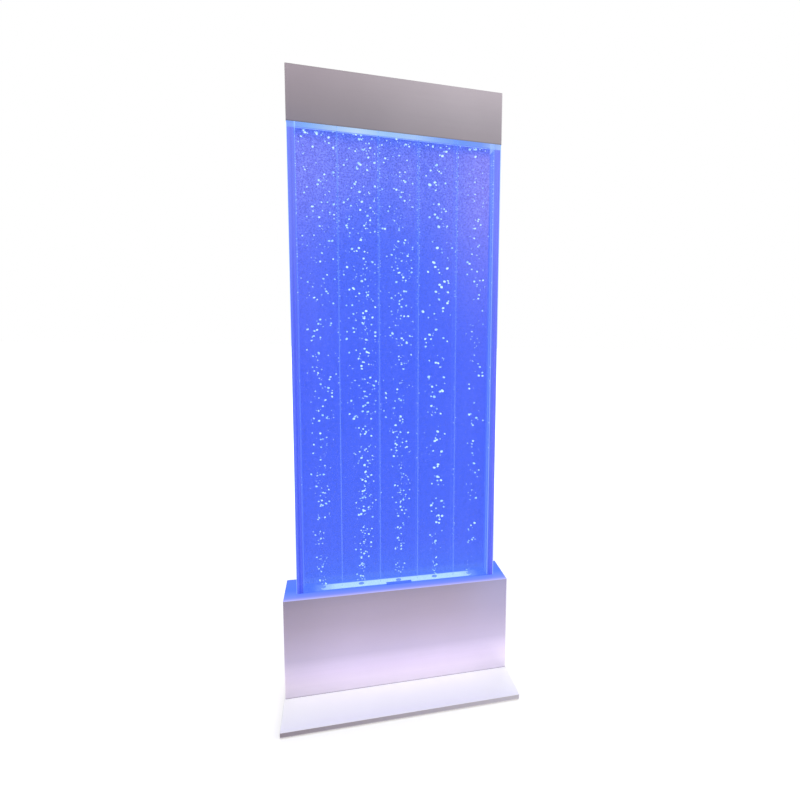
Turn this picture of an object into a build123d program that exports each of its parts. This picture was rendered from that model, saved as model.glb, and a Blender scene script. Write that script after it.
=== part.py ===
from build123d import *
from math import pi, radians, tan
import os

# Bubble wall floor lamp: a five-channel acrylic water tank that stands in a sheet-metal cabinet,
# lit from below and from inside its top cap, with an air pump that sends bubbles up every channel.
# Millimetres, +Z up, X across the width, the front faces -Y. The origin is on the floor, at the
# centre of the footprint.

# Fits and clearances
pin_fit = 0.05
slip = 0.3
water_film = 0.2
mesh_gap = 0.5

# Tank
tank_width = 609
tank_thickness = 68
tank_height = 1424
acrylic = 6
side_bar_width = 19
floor_thickness = 12
top_bar_thickness = 12
divider_thickness = 3
divider_gap_below = 10
divider_gap_above = 10
channel_count = 5
air_space = 67
sheet_edge = 0.8
tank_sunk = 12
tank_gap = 0.5

# Base plate
plate_height = 16
plate_side_margin = 3
plate_reach = 152.5
foot_height = 3
foot_radius = 18
foot_inset = 34
core_corner = 2

# Cabinet
cabinet_side_margin = 35.5
cabinet_ledge = 42.5
cabinet_height = 306
skin = 1.5
bend = 2.5
flange = 15
sill_flange = 20

# Cap
cap_sheet = 1.0
cap_bend = 1.8
cap_height = 149
cap_overlap = 54

# Light slot in the tank's floor, and the trough below it
slot_front_gap = 3
slot_rear_gap = 15
slot_end_margin = 7.5
tongue_width = 78
tongue_depth = 12
trough_wall_gap = 3
trough_end_gap = 6
trough_height = 42
trough_sheet = 1.0
trough_flange = 10
trough_front_lip = 5
trough_screw_y = 12
trough_lead_rise = 10.5

# Light strips
strip_width = 10
strip_board = 1.0
strip_end_gap = 12
strip_wall_gap = 3
chip_size = 5
chip_height = 1.6
chip_pitch = 24
profile_width = 16
profile_height = 12
profile_wall = 1.5
profile_y = -14
profile_end_gap = 6
lens_thickness = 1.5

# Support frames below the tank's ends
tube_side = 20
tube_wall = 1.5
beam_overhang = 8
frame_foot = 3
frame_foot_length = 48
pad_thickness = 1.5

# Rear frame and service door
door_left_inset = 40
door_right_inset = 135
door_below = 20
door_above = 24
door_gap = 1
door_corner = 3
door_return = 11
hinge_inset = 42
hinge_length = 40
hinge_leaf_width = 22
hinge_leaf = 1.5
knuckle_radius = 3
knuckle_length = 12
hinge_pin_radius = 1.5
hinge_pin_head = 2.6

# Latch
latch_inset = 21
latch_barrel_radius = 8
latch_flange_radius = 11
latch_flange = 2.5
latch_barrel_depth = 4.5
latch_shaft_radius = 4
latch_head_radius = 5.5
latch_head = 1.2
cam_thickness = 2
cam_length = 36
cam_width = 14
cam_toe = 9
knob_disc_radius = 10
knob_disc = 3
knob_wing = 12
knob_wing_width = 5

# Screws and bolts
screw_radius = 2
screw_head_radius = 3.8
screw_head = 2.2
screw_length = 9
bolt_radius = 3
bolt_grip = 19
bolt_head_radius = 5.5
bolt_head = 4
bolt_y = 18
lead_bore_radius = 4.5

# Air nozzles
nozzle_radius = 4
nozzle_flange_radius = 8
nozzle_flange = 1.5
nozzle_tip_radius = 3
nozzle_tip = 2.5
nozzle_bore_radius = 1
nozzle_end = 1
seal_thickness = 1
nozzle_nut_radius = 7
nozzle_nut_height = 6

# Air tubes and pump hose
tube_radius = 3
tube_bore = 2
barb_radius = 1.9
barb_length = 12
tube_hole_radius = 6
tube_first_rise = 30
tube_last_drop = 16

# Air manifold
manifold_gap = 10
manifold_length = 150
manifold_side = 18
outlet_pitch = 26
bracket_height = 100
bracket_leg_inset = 7
bracket_width = 24
bracket_foot = 14
knob_stem_radius = 3
knob_stem_length = 8
knob_radius = 8
knob_length = 10
knob_lever = 7
knob_lever_width = 4

# Air pump
pump_side_gap = 15
pump_length = 140
pump_width = 90
pump_height = 76
pump_wall = 2.5
pump_corner = 12
pump_split = 25
pump_foot_radius = 7
pump_foot = 6
pump_foot_inset = 18
pump_outlet_rise = 14
check_radius = 8
check_length = 24

# Power supply, controller and button
supply_inset = 50
supply_length = 100
supply_width = 60
supply_height = 38
supply_y = -25
supply_corner = 4
controller_length = 66
controller_width = 40
controller_height = 22
controller_corner = 3
button_radius = 5
button_height = 2.5
button_travel = 1.5
button_depth = 5

# Mains inlet
inlet_inset = 88
inlet_rise = 91
inlet_width = 27
inlet_height = 20
inlet_depth = 28
inlet_flange = 2
inlet_lip = 2.5
socket_width = 24
socket_height = 16.4
socket_depth = 16
blade_width = 2
blade_height = 4
blade_pitch = 7
blade_offset = 2
blade_length = 14

# Rocker switch
rocker_rise = 146
rocker_width = 20.6
rocker_height = 24.6
rocker_depth = 16
rocker_wall = 1.8
rocker_lip = 2
rocker_flange = 1.5
rocker_pin_radius = 1
rocker_pin_depth = 3.2
rocker_key_gap = 1.2
rocker_key_back = 4
rocker_tilt = 10

# Leads
lead_radius = 2
cable_radius = 2.5

# Drain valve
drain_inset = 14
drain_body_radius = 8
drain_stem_radius = 6
drain_barb_radius = 5
drain_barb_length = 16
drain_bore_radius = 3.5
drain_boss_radius = 5.5
drain_boss_length = 9
lever_stem_radius = 3
lever_length = 40
lever_width = 10
lever_thickness = 3
lever_gap = 1.5

# Fill plug and vents
plug_radius = 12
plug_y = 12
plug_head_radius = 15
plug_head = 12
plug_flutes = 20
flute_radius = 1
vent_radius = 2.5
vent_offset = 34

# Cap brackets
cap_bracket_inset = 9.5
cap_bracket_sheet = 2
cap_bracket_width = 46
cap_bracket_foot = 18
cap_bracket_notch = 14
cap_screw_y = 14

# Levels
plate_bottom = foot_height
plate_top = plate_bottom + plate_height
cabinet_top = plate_top + cabinet_height
cabinet_inner_top = cabinet_top - skin
tank_foot = cabinet_top - tank_sunk
tank_top = tank_foot + tank_height
floor_top = tank_foot + floor_thickness
top_bar_bottom = tank_top - top_bar_thickness
water_level = tank_top - air_space
cap_bottom = tank_top - cap_overlap
cap_top = cap_bottom + cap_height
trough_bottom = tank_foot - trough_height
trough_lead_z = trough_bottom + trough_lead_rise
beam_top = tank_foot - pad_thickness
beam_bottom = beam_top - tube_side
nozzle_seat = floor_top + seal_thickness
nozzle_flange_top = nozzle_seat + nozzle_flange
nozzle_nut_bottom = tank_foot - nozzle_nut_height
nozzle_foot = nozzle_nut_bottom - nozzle_end

# Half widths and places in plan
tank_x = tank_width / 2
tank_y = tank_thickness / 2
inner_x = tank_x - side_bar_width
inner_y = tank_y - acrylic
cabinet_x = tank_x + cabinet_side_margin
cabinet_y = tank_y + cabinet_ledge
cabinet_rear = cabinet_y
shell_rear = cabinet_rear - skin
plate_x = cabinet_x + plate_side_margin
plate_y = cabinet_y + plate_reach
side_bar_x = tank_x - side_bar_width / 2
frame_inner_x = side_bar_x - tube_side / 2
sill_inner_y = shell_rear - sill_flange
leg_y = sill_inner_y - mesh_gap - tube_side / 2
channel_width = (2 * inner_x - (channel_count - 1) * divider_thickness) / channel_count
channel_pitch = channel_width + divider_thickness
nozzle_xs = [(i - (channel_count - 1) / 2) * channel_pitch for i in range(channel_count)]
divider_xs = [(i - (channel_count - 2) / 2) * channel_pitch for i in range(channel_count - 1)]
nozzle_y = (slot_front_gap - slot_rear_gap) / 2
slot_half_depth = inner_y - (slot_front_gap + slot_rear_gap) / 2
slot_half_length = nozzle_xs[-1] + slot_end_margin
trough_half_depth = slot_half_depth + trough_wall_gap
trough_half_length = slot_half_length + trough_end_gap
strip_half_length = trough_half_length - strip_end_gap
strip_offset = trough_half_depth - trough_sheet - strip_wall_gap - strip_width / 2
cap_x = tank_x + slip + cap_sheet
cap_y = tank_y + slip + cap_sheet
cap_bracket_x = inner_x - cap_bracket_inset
profile_half_length = cap_bracket_x - cap_bracket_foot / 2 - profile_end_gap

# Places inside the cabinet
door_left = door_left_inset - cabinet_x
door_right = cabinet_x - door_right_inset
door_bottom = plate_top + door_below
door_top = cabinet_top - door_above
hinge_x = door_left + door_gap / 2
hinge_y = cabinet_rear + knuckle_radius + slip
latch_x = door_right - latch_inset
latch_z = (door_bottom + door_top) / 2
supply_right = frame_inner_x - supply_inset
supply_left = supply_right - supply_length
supply_x = (supply_left + supply_right) / 2
supply_top = plate_top + supply_height
controller_z = supply_top + controller_height / 2
manifold_x = supply_left - manifold_gap - manifold_length / 2
manifold_left = manifold_x - manifold_length / 2
manifold_bottom = plate_top + bracket_height
manifold_z = manifold_bottom + manifold_side / 2
manifold_top = manifold_bottom + manifold_side
outlet_xs = [manifold_x + (i - (channel_count - 1) / 2) * outlet_pitch for i in range(channel_count)]
pump_left = pump_side_gap - frame_inner_x
pump_right = pump_left + pump_length
pump_bottom = plate_top + pump_foot
pump_outlet_z = pump_bottom + pump_outlet_rise
check_left = pump_right + slip
check_right = check_left + check_length
inlet_x = cabinet_x - inlet_inset
inlet_z = plate_top + inlet_rise
rocker_z = plate_top + rocker_rise
rocker_pivot_y = cabinet_rear - rocker_pin_depth
drain_x = drain_inset - inner_x
drain_z = beam_bottom - bolt_head - lever_gap - lever_width / 2

os.makedirs("parts", exist_ok=True)


def save(name, shape):
    """Write one node, as a group when it holds several separate solids."""
    pieces = shape if isinstance(shape, list) else [shape]
    solids = [solid for piece in pieces for solid in piece.solids()]
    node = solids[0] if len(solids) == 1 else Compound(children=solids)
    node.label = name
    export_step(node, f"parts/{name}.step")


def block(x0, x1, y0, y1, z0, z1):
    """A box between two limits on each axis."""
    size = Box(x1 - x0, y1 - y0, z1 - z0)
    return Pos((x0 + x1) / 2, (y0 + y1) / 2, (z0 + z1) / 2) * size


def rod_x(y, z, x0, x1, radius):
    return Pos((x0 + x1) / 2, y, z) * Rot(0, 90, 0) * Cylinder(radius, x1 - x0)


def rod_y(x, z, y0, y1, radius):
    return Pos(x, (y0 + y1) / 2, z) * Rot(90, 0, 0) * Cylinder(radius, y1 - y0)


def rod_z(x, y, z0, z1, radius):
    return Pos(x, y, (z0 + z1) / 2) * Cylinder(radius, z1 - z0)


def hexagon(x, y, z0, z1, radius):
    return Pos(x, y, z0) * extrude(RegularPolygon(radius, 6), z1 - z0)


def mirrored(value):
    """The same distance on both sides of the centre plane."""
    return -value, value


def pan_screw(x, y, z, length=screw_length):
    """A screw pointing down, with its domed head standing on the level z."""
    head = rod_z(x, y, z, z + screw_head, screw_head_radius)
    head = fillet(head.edges().sort_by(Axis.Z)[-1], screw_head / 2)
    return head + rod_z(x, y, z - length, z, screw_radius)


def swept_tube(name, points, radius, bore=0):
    """A lead or tube: straight runs joined by tangent arcs as large as two runs allow."""
    corners = [Vector(*point) for point in points]
    runs = [b - a for a, b in zip(corners, corners[1:])]
    radii = []
    for before, after in zip(runs, runs[1:]):
        turn = radians(before.get_angle(after))
        radii.append(0.45 * min(before.length, after.length) / tan(turn / 2))
    path = FilletPolyline(*corners, radius=radii)
    profile = Circle(radius) - Circle(bore) if bore else Circle(radius)
    tube = sweep(Plane(origin=path @ 0, z_dir=path % 0) * profile, path=path)
    expected = pi * (radius**2 - bore**2) * path.length
    print(name, "radii", [round(r, 1) for r in radii], "length", round(path.length, 1),
          "volume over section times length", round(tube.volume / expected, 4))
    return tube


# Base plate and its screws


def base_screw_places():
    """Place and seat height of every screw that goes down into the base plate."""
    sill = [(x, y, plate_top + skin) for x in (-cabinet_x * 0.75, 0, cabinet_x * 0.75)
            for y in mirrored(shell_rear - sill_flange / 2)]
    foot_y = leg_y + tube_side / 2 - frame_foot_length + screw_head_radius + 1
    feet = [(x, y, plate_top + frame_foot) for x in mirrored(side_bar_x) for y in mirrored(foot_y)]
    reach = manifold_length / 2 - bracket_leg_inset + bracket_foot / 2
    bracket = [(manifold_x + side * reach, 0, plate_top + skin) for side in (-1, 1)]
    return sill + feet + bracket


def base_screw_holes():
    return [rod_z(x, y, z - screw_length - pin_fit, z, screw_radius + pin_fit)
            for x, y, z in base_screw_places()]


def make_base_plate():
    """Folded steel tray, open below."""
    outer = block(-plate_x, plate_x, -plate_y, plate_y, plate_bottom, plate_top)
    outer = fillet(outer.edges().filter_by(Axis.Z) + outer.faces().sort_by(Axis.Z)[-1].edges(), bend)
    x, y = plate_x - skin, plate_y - skin
    hollow = block(-x, x, -y, y, plate_bottom, plate_top - skin)
    hollow = fillet(hollow.edges().filter_by(Axis.Z), bend - skin)
    save("base_plate", outer - hollow - base_screw_holes())


def make_base_core():
    """Board inside the tray."""
    x, y = plate_x - skin - slip, plate_y - skin - slip
    core = block(-x, x, -y, y, plate_bottom, plate_top - skin)
    core = fillet(core.edges().filter_by(Axis.Z), core_corner)
    save("base_core", core - base_screw_holes())


def make_foot_pads():
    pads = []
    for x in (foot_inset - plate_x, 0, plate_x - foot_inset):
        for y in mirrored(plate_y - foot_inset):
            pad = rod_z(x, y, 0, foot_height, foot_radius)
            pads.append(chamfer(pad.edges().sort_by(Axis.Z)[0], foot_height / 4))
    save("foot_pads", pads)


def make_base_screws():
    save("base_screws", [pan_screw(x, y, z) for x, y, z in base_screw_places()])


# Cabinet


def rear_screw_places():
    """Screws that hold the rear frame to the cabinet's return flanges."""
    side = cabinet_x - skin - flange / 2
    low = plate_top + skin + flange / 2
    high = cabinet_inner_top - flange / 2
    corners = [(x, z) for x in mirrored(side) for z in (low, high)]
    return corners + [(0, low), (0, high), (-side, latch_z), (side, latch_z)]


def folded_box(x, front, z_top, radius):
    """A box from the base plate up, rounded at its front corners and round its top but the rear."""
    box = block(-x, x, front, shell_rear, plate_top, z_top)
    top_edges = box.faces().sort_by(Axis.Z)[-1].edges().sort_by(Axis.Y)[:-1]
    corner_edges = box.edges().filter_by(Axis.Z).sort_by(Axis.Y)[:2]
    return fillet(top_edges + corner_edges, radius)


def make_cabinet_shell():
    """Front, sides and top in one folded sheet, with flanges behind and below."""
    x = cabinet_x - skin
    front = skin - cabinet_y
    shell = folded_box(cabinet_x, -cabinet_y, cabinet_top, bend)
    shell -= folded_box(x, front, cabinet_inner_top, bend - skin)
    ring = block(-x, x, shell_rear - skin, shell_rear, plate_top, cabinet_inner_top)
    ring -= block(flange - x, x - flange, shell_rear - skin, shell_rear,
                  plate_top + flange, cabinet_inner_top - flange)
    sill = block(-x, x, front, shell_rear, plate_top, plate_top + skin)
    sill -= block(sill_flange - x, x - sill_flange, -sill_inner_y, sill_inner_y,
                  plate_top, plate_top + skin)
    shell = shell + ring + sill
    shell -= block(-tank_x - tank_gap, tank_x + tank_gap, -tank_y - tank_gap, tank_y + tank_gap,
                   cabinet_inner_top, cabinet_top)
    shell -= base_screw_holes()
    shell -= [rod_y(px, z, shell_rear - skin, shell_rear, screw_radius + pin_fit)
              for px, z in rear_screw_places()]
    save("cabinet_shell", shell)


def make_rear_frame():
    """Back plate with the door opening and the cut-outs for the inlet and the switch."""
    plate = block(-cabinet_x, cabinet_x, shell_rear, cabinet_rear, plate_top, cabinet_top)
    plate = fillet(plate.edges().filter_by(Axis.Y).sort_by(Axis.Z)[-2:], bend)
    opening = block(door_left, door_right, shell_rear, cabinet_rear, door_bottom, door_top)
    opening = fillet(opening.edges().filter_by(Axis.Y), door_corner)
    half_width, half_height = inlet_width / 2 + slip, inlet_height / 2 + slip
    inlet = block(inlet_x - half_width, inlet_x + half_width, shell_rear, cabinet_rear,
                  inlet_z - half_height, inlet_z + half_height)
    half_width, half_height = rocker_width / 2 + slip, rocker_height / 2 + slip
    rocker = block(inlet_x - half_width, inlet_x + half_width, shell_rear, cabinet_rear,
                   rocker_z - half_height, rocker_z + half_height)
    holes = [rod_y(x, z, shell_rear, cabinet_rear, screw_radius + pin_fit) for x, z in rear_screw_places()]
    save("rear_frame", plate - opening - inlet - rocker - holes)


def make_cabinet_fasteners():
    """Pan-head screws of the rear frame."""
    screws = []
    for x, z in rear_screw_places():
        head = rod_y(x, z, cabinet_rear, cabinet_rear + screw_head, screw_head_radius)
        head = fillet(head.edges().sort_by(Axis.Y)[-1], screw_head / 2)
        screws.append(head + rod_y(x, z, cabinet_rear - screw_length, cabinet_rear, screw_radius))
    save("cabinet_fasteners", screws)


def tank_holes(z0, z1):
    """Holes for the tank's bolts and for the cap's lead."""
    bolts = [rod_z(x, y, z0, z1, bolt_radius + pin_fit) for x in mirrored(side_bar_x) for y in mirrored(bolt_y)]
    return bolts + [rod_z(side_bar_x, 0, z0, z1, lead_bore_radius)]


def make_support_frames():
    """Two welded square-tube trestles that carry the tank's ends from the base plate."""
    half = tube_side / 2
    bore = half - tube_wall
    reach = leg_y + half + beam_overhang
    frames = []
    for x in mirrored(side_bar_x):
        frame = block(x - half, x + half, -reach, reach, beam_bottom, beam_top)
        frame -= block(x - bore, x + bore, -reach, reach, beam_bottom + tube_wall, beam_top - tube_wall)
        for side in (-1, 1):
            y = side * leg_y
            leg = block(x - half, x + half, y - half, y + half, plate_top + frame_foot, beam_bottom)
            leg -= block(x - bore, x + bore, y - bore, y + bore, plate_top + frame_foot, beam_bottom)
            ends = sorted([side * (leg_y + half), side * (leg_y + half - frame_foot_length)])
            foot = block(x - half, x + half, *ends, plate_top, plate_top + frame_foot)
            frame = frame + leg + foot
        frames.append(frame - tank_holes(beam_bottom, beam_top) - base_screw_holes())
    save("support_frames", frames)


# Service door, hinges and latch


def hinge_leaf_shape(z, side):
    """One leaf with its knuckles: side -1 lies on the frame, side 1 on the door."""
    low, high = z - hinge_length / 2, z + hinge_length / 2
    spans = [(low, low + knuckle_length), (high - knuckle_length, high)]
    if side > 0:
        spans = [(low + knuckle_length + slip, high - knuckle_length - slip)]
    near = hinge_x + side * (knuckle_radius + mesh_gap)
    far = hinge_x + side * hinge_leaf_width
    leaf_back = cabinet_rear + hinge_leaf
    leaf = block(min(near, far), max(near, far), cabinet_rear, leaf_back, low, high)
    for bottom, top in spans:
        leaf += block(min(hinge_x, near), max(hinge_x, near), cabinet_rear + slip, leaf_back, bottom, top)
        leaf += rod_z(hinge_x, hinge_y, bottom, top, knuckle_radius)
    return leaf - rod_z(hinge_x, hinge_y, low, high, hinge_pin_radius + pin_fit)


def make_hinges():
    """Two butt hinges, spot-welded to the rear frame and to the door."""
    levels = (door_bottom + hinge_inset, door_top - hinge_inset)
    save("hinge_frame_leaves", [hinge_leaf_shape(z, -1) for z in levels])
    save("hinge_door_leaves", [hinge_leaf_shape(z, 1) for z in levels])
    pins = []
    for z in levels:
        top = z + hinge_length / 2
        head = rod_z(hinge_x, hinge_y, top, top + hinge_pin_radius, hinge_pin_head)
        head = fillet(head.edges().sort_by(Axis.Z)[-1], hinge_pin_radius / 2)
        pins.append(head + rod_z(hinge_x, hinge_y, z - hinge_length / 2, top, hinge_pin_radius))
    save("hinge_pins", pins)


def make_service_door():
    """Door sheet with its edges turned in, notched where the latch cam passes."""
    left, right = door_left + door_gap, door_right - door_gap
    low, high = door_bottom + door_gap, door_top - door_gap
    inside = shell_rear - door_return
    door = block(left, right, inside, cabinet_rear, low, high)
    door = fillet(door.edges().filter_by(Axis.Y), door_corner - door_gap)
    door -= block(left + skin, right - skin, inside, shell_rear, low + skin, high - skin)
    door -= block(right - skin, right, inside, shell_rear, latch_z - cam_width, latch_z + cam_length)
    door -= rod_y(latch_x, latch_z, shell_rear, cabinet_rear, latch_barrel_radius + pin_fit)
    save("service_door", door)


def make_latch():
    """Quarter-turn latch: a bush in the door, a knob with its shaft, and a cam with a raised toe."""
    barrel_end = cabinet_rear - latch_barrel_depth
    cam_back = barrel_end - slip
    cam_front = cam_back - cam_thickness
    flange_face = cabinet_rear + latch_flange
    bush = rod_y(latch_x, latch_z, barrel_end, cabinet_rear, latch_barrel_radius)
    bush += rod_y(latch_x, latch_z, cabinet_rear, flange_face, latch_flange_radius)
    bush -= rod_y(latch_x, latch_z, barrel_end, flange_face, latch_shaft_radius + pin_fit)
    save("latch_bush", bush)
    knob = rod_y(latch_x, latch_z, cam_front, flange_face, latch_shaft_radius)
    knob += rod_y(latch_x, latch_z, cam_front - latch_head, cam_front, latch_head_radius)
    disc = rod_y(latch_x, latch_z, flange_face, flange_face + knob_disc, knob_disc_radius)
    knob += fillet(disc.edges().sort_by(Axis.Y)[-1], knob_disc / 3)
    wing_reach = knob_disc_radius - 1
    wing = block(latch_x - knob_wing_width / 2, latch_x + knob_wing_width / 2, flange_face,
                 flange_face + knob_disc + knob_wing, latch_z - wing_reach, latch_z + wing_reach)
    knob += fillet(wing.edges().filter_by(Axis.X).sort_by(Axis.Y)[-2:], knob_wing_width)
    save("latch_knob", knob)
    cam = block(latch_x - cam_width / 2, latch_x + cam_width / 2, cam_front, cam_back,
                latch_z - cam_width / 2, latch_z + cam_length)
    cam = fillet(cam.edges().filter_by(Axis.Y), cam_width / 3)
    cam += block(latch_x - cam_width / 4, latch_x + cam_width / 4, cam_back, shell_rear - mesh_gap,
                 latch_z + cam_length - 1.4 * cam_toe, latch_z + cam_length - 0.4 * cam_toe)
    save("latch_cam", cam - rod_y(latch_x, latch_z, cam_front, cam_back, latch_shaft_radius + pin_fit))


# Tank


def make_tank_sheets():
    """Clear front sheet and frosted rear sheet, with eased outer edges."""
    front = block(-tank_x, tank_x, -tank_y, -inner_y, tank_foot, tank_top)
    edges = front.faces().sort_by(Axis.Y)[0].edges().filter_by(Axis.Z)
    save("tank_front_sheet", chamfer(edges, sheet_edge))
    rear = block(-tank_x, tank_x, inner_y, tank_y, tank_foot, tank_top)
    edges = rear.faces().sort_by(Axis.Y)[-1].edges().filter_by(Axis.Z)
    save("tank_rear_sheet", chamfer(edges, sheet_edge))


def make_side_bars():
    """Solid bars between the sheets; the right one is bored for the cap's lead."""
    for name, side in (("tank_left_bar", -1), ("tank_right_bar", 1)):
        bar = block(*sorted([side * inner_x, side * tank_x]), -inner_y, inner_y, tank_foot, tank_top)
        bar -= [rod_z(side * side_bar_x, y, tank_foot, tank_foot + bolt_grip + pin_fit, bolt_radius + pin_fit)
                for y in mirrored(bolt_y)]
        if side > 0:
            bar -= rod_z(side_bar_x, 0, tank_foot, tank_top, lead_bore_radius)
        save(name, bar)


def slot_outline(z0, z1, growth=0.0):
    """The light slot: round ends past the outer nozzles, and a tongue at its front centre."""
    straight = slot_half_length - slot_half_depth
    radius = slot_half_depth + growth
    slot = block(-straight, straight, nozzle_y - radius, nozzle_y + radius, z0, z1)
    slot = slot + [rod_z(x, nozzle_y, z0, z1, radius) for x in mirrored(straight)]
    half = tongue_width / 2 - growth
    front = nozzle_y - slot_half_depth
    return slot - block(-half, half, front - growth, front + tongue_depth - growth, z0, z1)


def trough_screw_places():
    """Screws that hold the light trough under the tank's floor."""
    end = trough_half_length + trough_flange / 2
    rear = nozzle_y + trough_half_depth + trough_flange / 2
    return [(x, nozzle_y + y) for x in mirrored(end) for y in mirrored(trough_screw_y)] + [(0, rear)]


def make_tank_floor():
    """White bar with the light slot through it."""
    floor = block(-inner_x, inner_x, -inner_y, inner_y, tank_foot, floor_top)
    floor -= slot_outline(tank_foot, floor_top, pin_fit)
    floor -= rod_z(drain_x, nozzle_y, tank_foot, floor_top, drain_stem_radius + pin_fit)
    depth = screw_length - trough_sheet
    floor -= [rod_z(x, y, tank_foot, tank_foot + depth, screw_radius + pin_fit)
              for x, y in trough_screw_places()]
    save("tank_floor", floor)


def make_slot_diffuser():
    """Opal bar bonded into the floor's slot, drilled for the nozzles."""
    bar = slot_outline(tank_foot, floor_top)
    bar -= [rod_z(x, nozzle_y, tank_foot, floor_top, nozzle_radius + pin_fit) for x in nozzle_xs]
    save("slot_diffuser", bar)


def cap_screw_places():
    return [(x, y) for x in mirrored(cap_bracket_x) for y in mirrored(cap_screw_y)]


def make_tank_top_bar():
    """Clear bar with the filler hole, a vent over each channel and the brackets' screw holes."""
    bar = block(-inner_x, inner_x, -inner_y, inner_y, top_bar_bottom, tank_top)
    bar -= rod_z(0, plug_y, top_bar_bottom, tank_top, plug_radius + pin_fit)
    bar -= [rod_z(x + vent_offset, plug_y, top_bar_bottom, tank_top, vent_radius) for x in nozzle_xs]
    depth = screw_length - cap_bracket_sheet
    bar -= [rod_z(x, y, tank_top - depth, tank_top, screw_radius + pin_fit) for x, y in cap_screw_places()]
    save("tank_top_bar", bar)


def divider(x, growth=0.0):
    half = divider_thickness / 2 + growth
    reach = inner_y + growth
    return block(x - half, x + half, -reach, reach, floor_top + divider_gap_below - growth,
                 top_bar_bottom - divider_gap_above)


def make_tank_dividers():
    save("tank_dividers", [divider(x) for x in divider_xs])


def make_water():
    """The water: one body, joined below the dividers, a film's gap off every wall."""
    x, y = inner_x - water_film, inner_y - water_film
    water = block(-x, x, -y, y, floor_top + water_film, water_level)
    water -= [divider(place, water_film) for place in divider_xs]
    water -= [rod_z(place, nozzle_y, floor_top, nozzle_flange_top + water_film,
                    nozzle_flange_radius + water_film) for place in nozzle_xs]
    water -= [rod_z(place, nozzle_y, floor_top, nozzle_flange_top + nozzle_tip + water_film,
                    nozzle_tip_radius + water_film) for place in nozzle_xs]
    save("water", water)


def make_tank_seat_pad():
    """Rubber pads between the support frames and the tank's foot."""
    pads = [block(*sorted([side * frame_inner_x, side * tank_x]), -tank_y, tank_y, beam_top, tank_foot)
            - tank_holes(beam_top, tank_foot) for side in (-1, 1)]
    save("tank_seat_pad", pads)


def make_tank_screws():
    """Bolts up into the side bars, and the screws of the cap brackets and of the trough."""
    screws = []
    for x in mirrored(side_bar_x):
        for y in mirrored(bolt_y):
            shank = rod_z(x, y, beam_bottom, tank_foot + bolt_grip, bolt_radius)
            screws.append(shank + hexagon(x, y, beam_bottom - bolt_head, beam_bottom, bolt_head_radius))
    screws += [pan_screw(x, y, tank_top + cap_bracket_sheet) for x, y in cap_screw_places()]
    upright = Pos(0, 0, tank_foot - trough_sheet) * Rot(180, 0, 0)
    screws += [upright * pan_screw(x, -y, 0) for x, y in trough_screw_places()]
    save("tank_screws", screws)


def make_fill_plug():
    """Fluted screw plug in the tank's top bar."""
    head = rod_z(0, plug_y, tank_top, tank_top + plug_head, plug_head_radius)
    head = fillet(head.edges().sort_by(Axis.Z)[-1], plug_head / 8)
    flutes = [Pos(0, plug_y, tank_top + plug_head / 2) * spot * Cylinder(flute_radius, plug_head)
              for spot in PolarLocations(plug_head_radius + flute_radius / 3, plug_flutes)]
    save("fill_plug", head - flutes + rod_z(0, plug_y, top_bar_bottom, tank_top, plug_radius))


# Cap


def make_top_cap():
    """Folded sheet cap, open below, that drops over the tank's top."""
    outer = block(-cap_x, cap_x, -cap_y, cap_y, cap_bottom, cap_top)
    outer = fillet(outer.edges().filter_by(Axis.Z) + outer.faces().sort_by(Axis.Z)[-1].edges(), cap_bend)
    x, y = cap_x - cap_sheet, cap_y - cap_sheet
    hollow = block(-x, x, -y, y, cap_bottom, cap_top - cap_sheet)
    upper = hollow.edges().filter_by(Axis.Z) + hollow.faces().sort_by(Axis.Z)[-1].edges()
    save("top_cap", outer - fillet(upper, cap_bend - cap_sheet))


def make_cap_brackets():
    """Z-shaped brackets that stand on the tank and carry the cap, notched for the lead."""
    half = cap_bracket_width / 2
    ceiling = cap_top - cap_sheet
    foot_top = tank_top + cap_bracket_sheet
    near, far = cap_bracket_x - cap_bracket_foot / 2, cap_bracket_x + cap_bracket_foot / 2
    holes = [rod_z(x, y, tank_top, foot_top, screw_radius + pin_fit) for x, y in cap_screw_places()]
    brackets = []
    for side in (-1, 1):
        foot = sorted([side * near, side * far])
        web = sorted([side * near, side * (near + cap_bracket_sheet)])
        head = sorted([side * (near + cap_bracket_sheet), side * (near - cap_bracket_foot)])
        bracket = block(*foot, -half, half, tank_top, foot_top)
        bracket += block(*web, -half, half, tank_top, ceiling)
        bracket += block(*head, -half, half, ceiling - cap_bracket_sheet, ceiling)
        bracket -= block(*web, profile_y - profile_width / 2, 0, foot_top, tank_top + cap_bracket_notch)
        brackets.append(bracket - holes)
    save("cap_brackets", brackets)


# Lights


def light_strip(reach, y, z, facing):
    """A board with its chips on the face at z, facing up (1) or down (-1)."""
    board = z + facing * strip_board
    strip = block(-reach, reach, y - strip_width / 2, y + strip_width / 2, *sorted([z, board]))
    count = int(2 * reach // chip_pitch)
    half = chip_size / 2
    for i in range(count):
        x = (i - (count - 1) / 2) * chip_pitch
        strip += block(x - half, x + half, y - half, y + half, *sorted([board, board + facing * chip_height]))
    return strip


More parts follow.
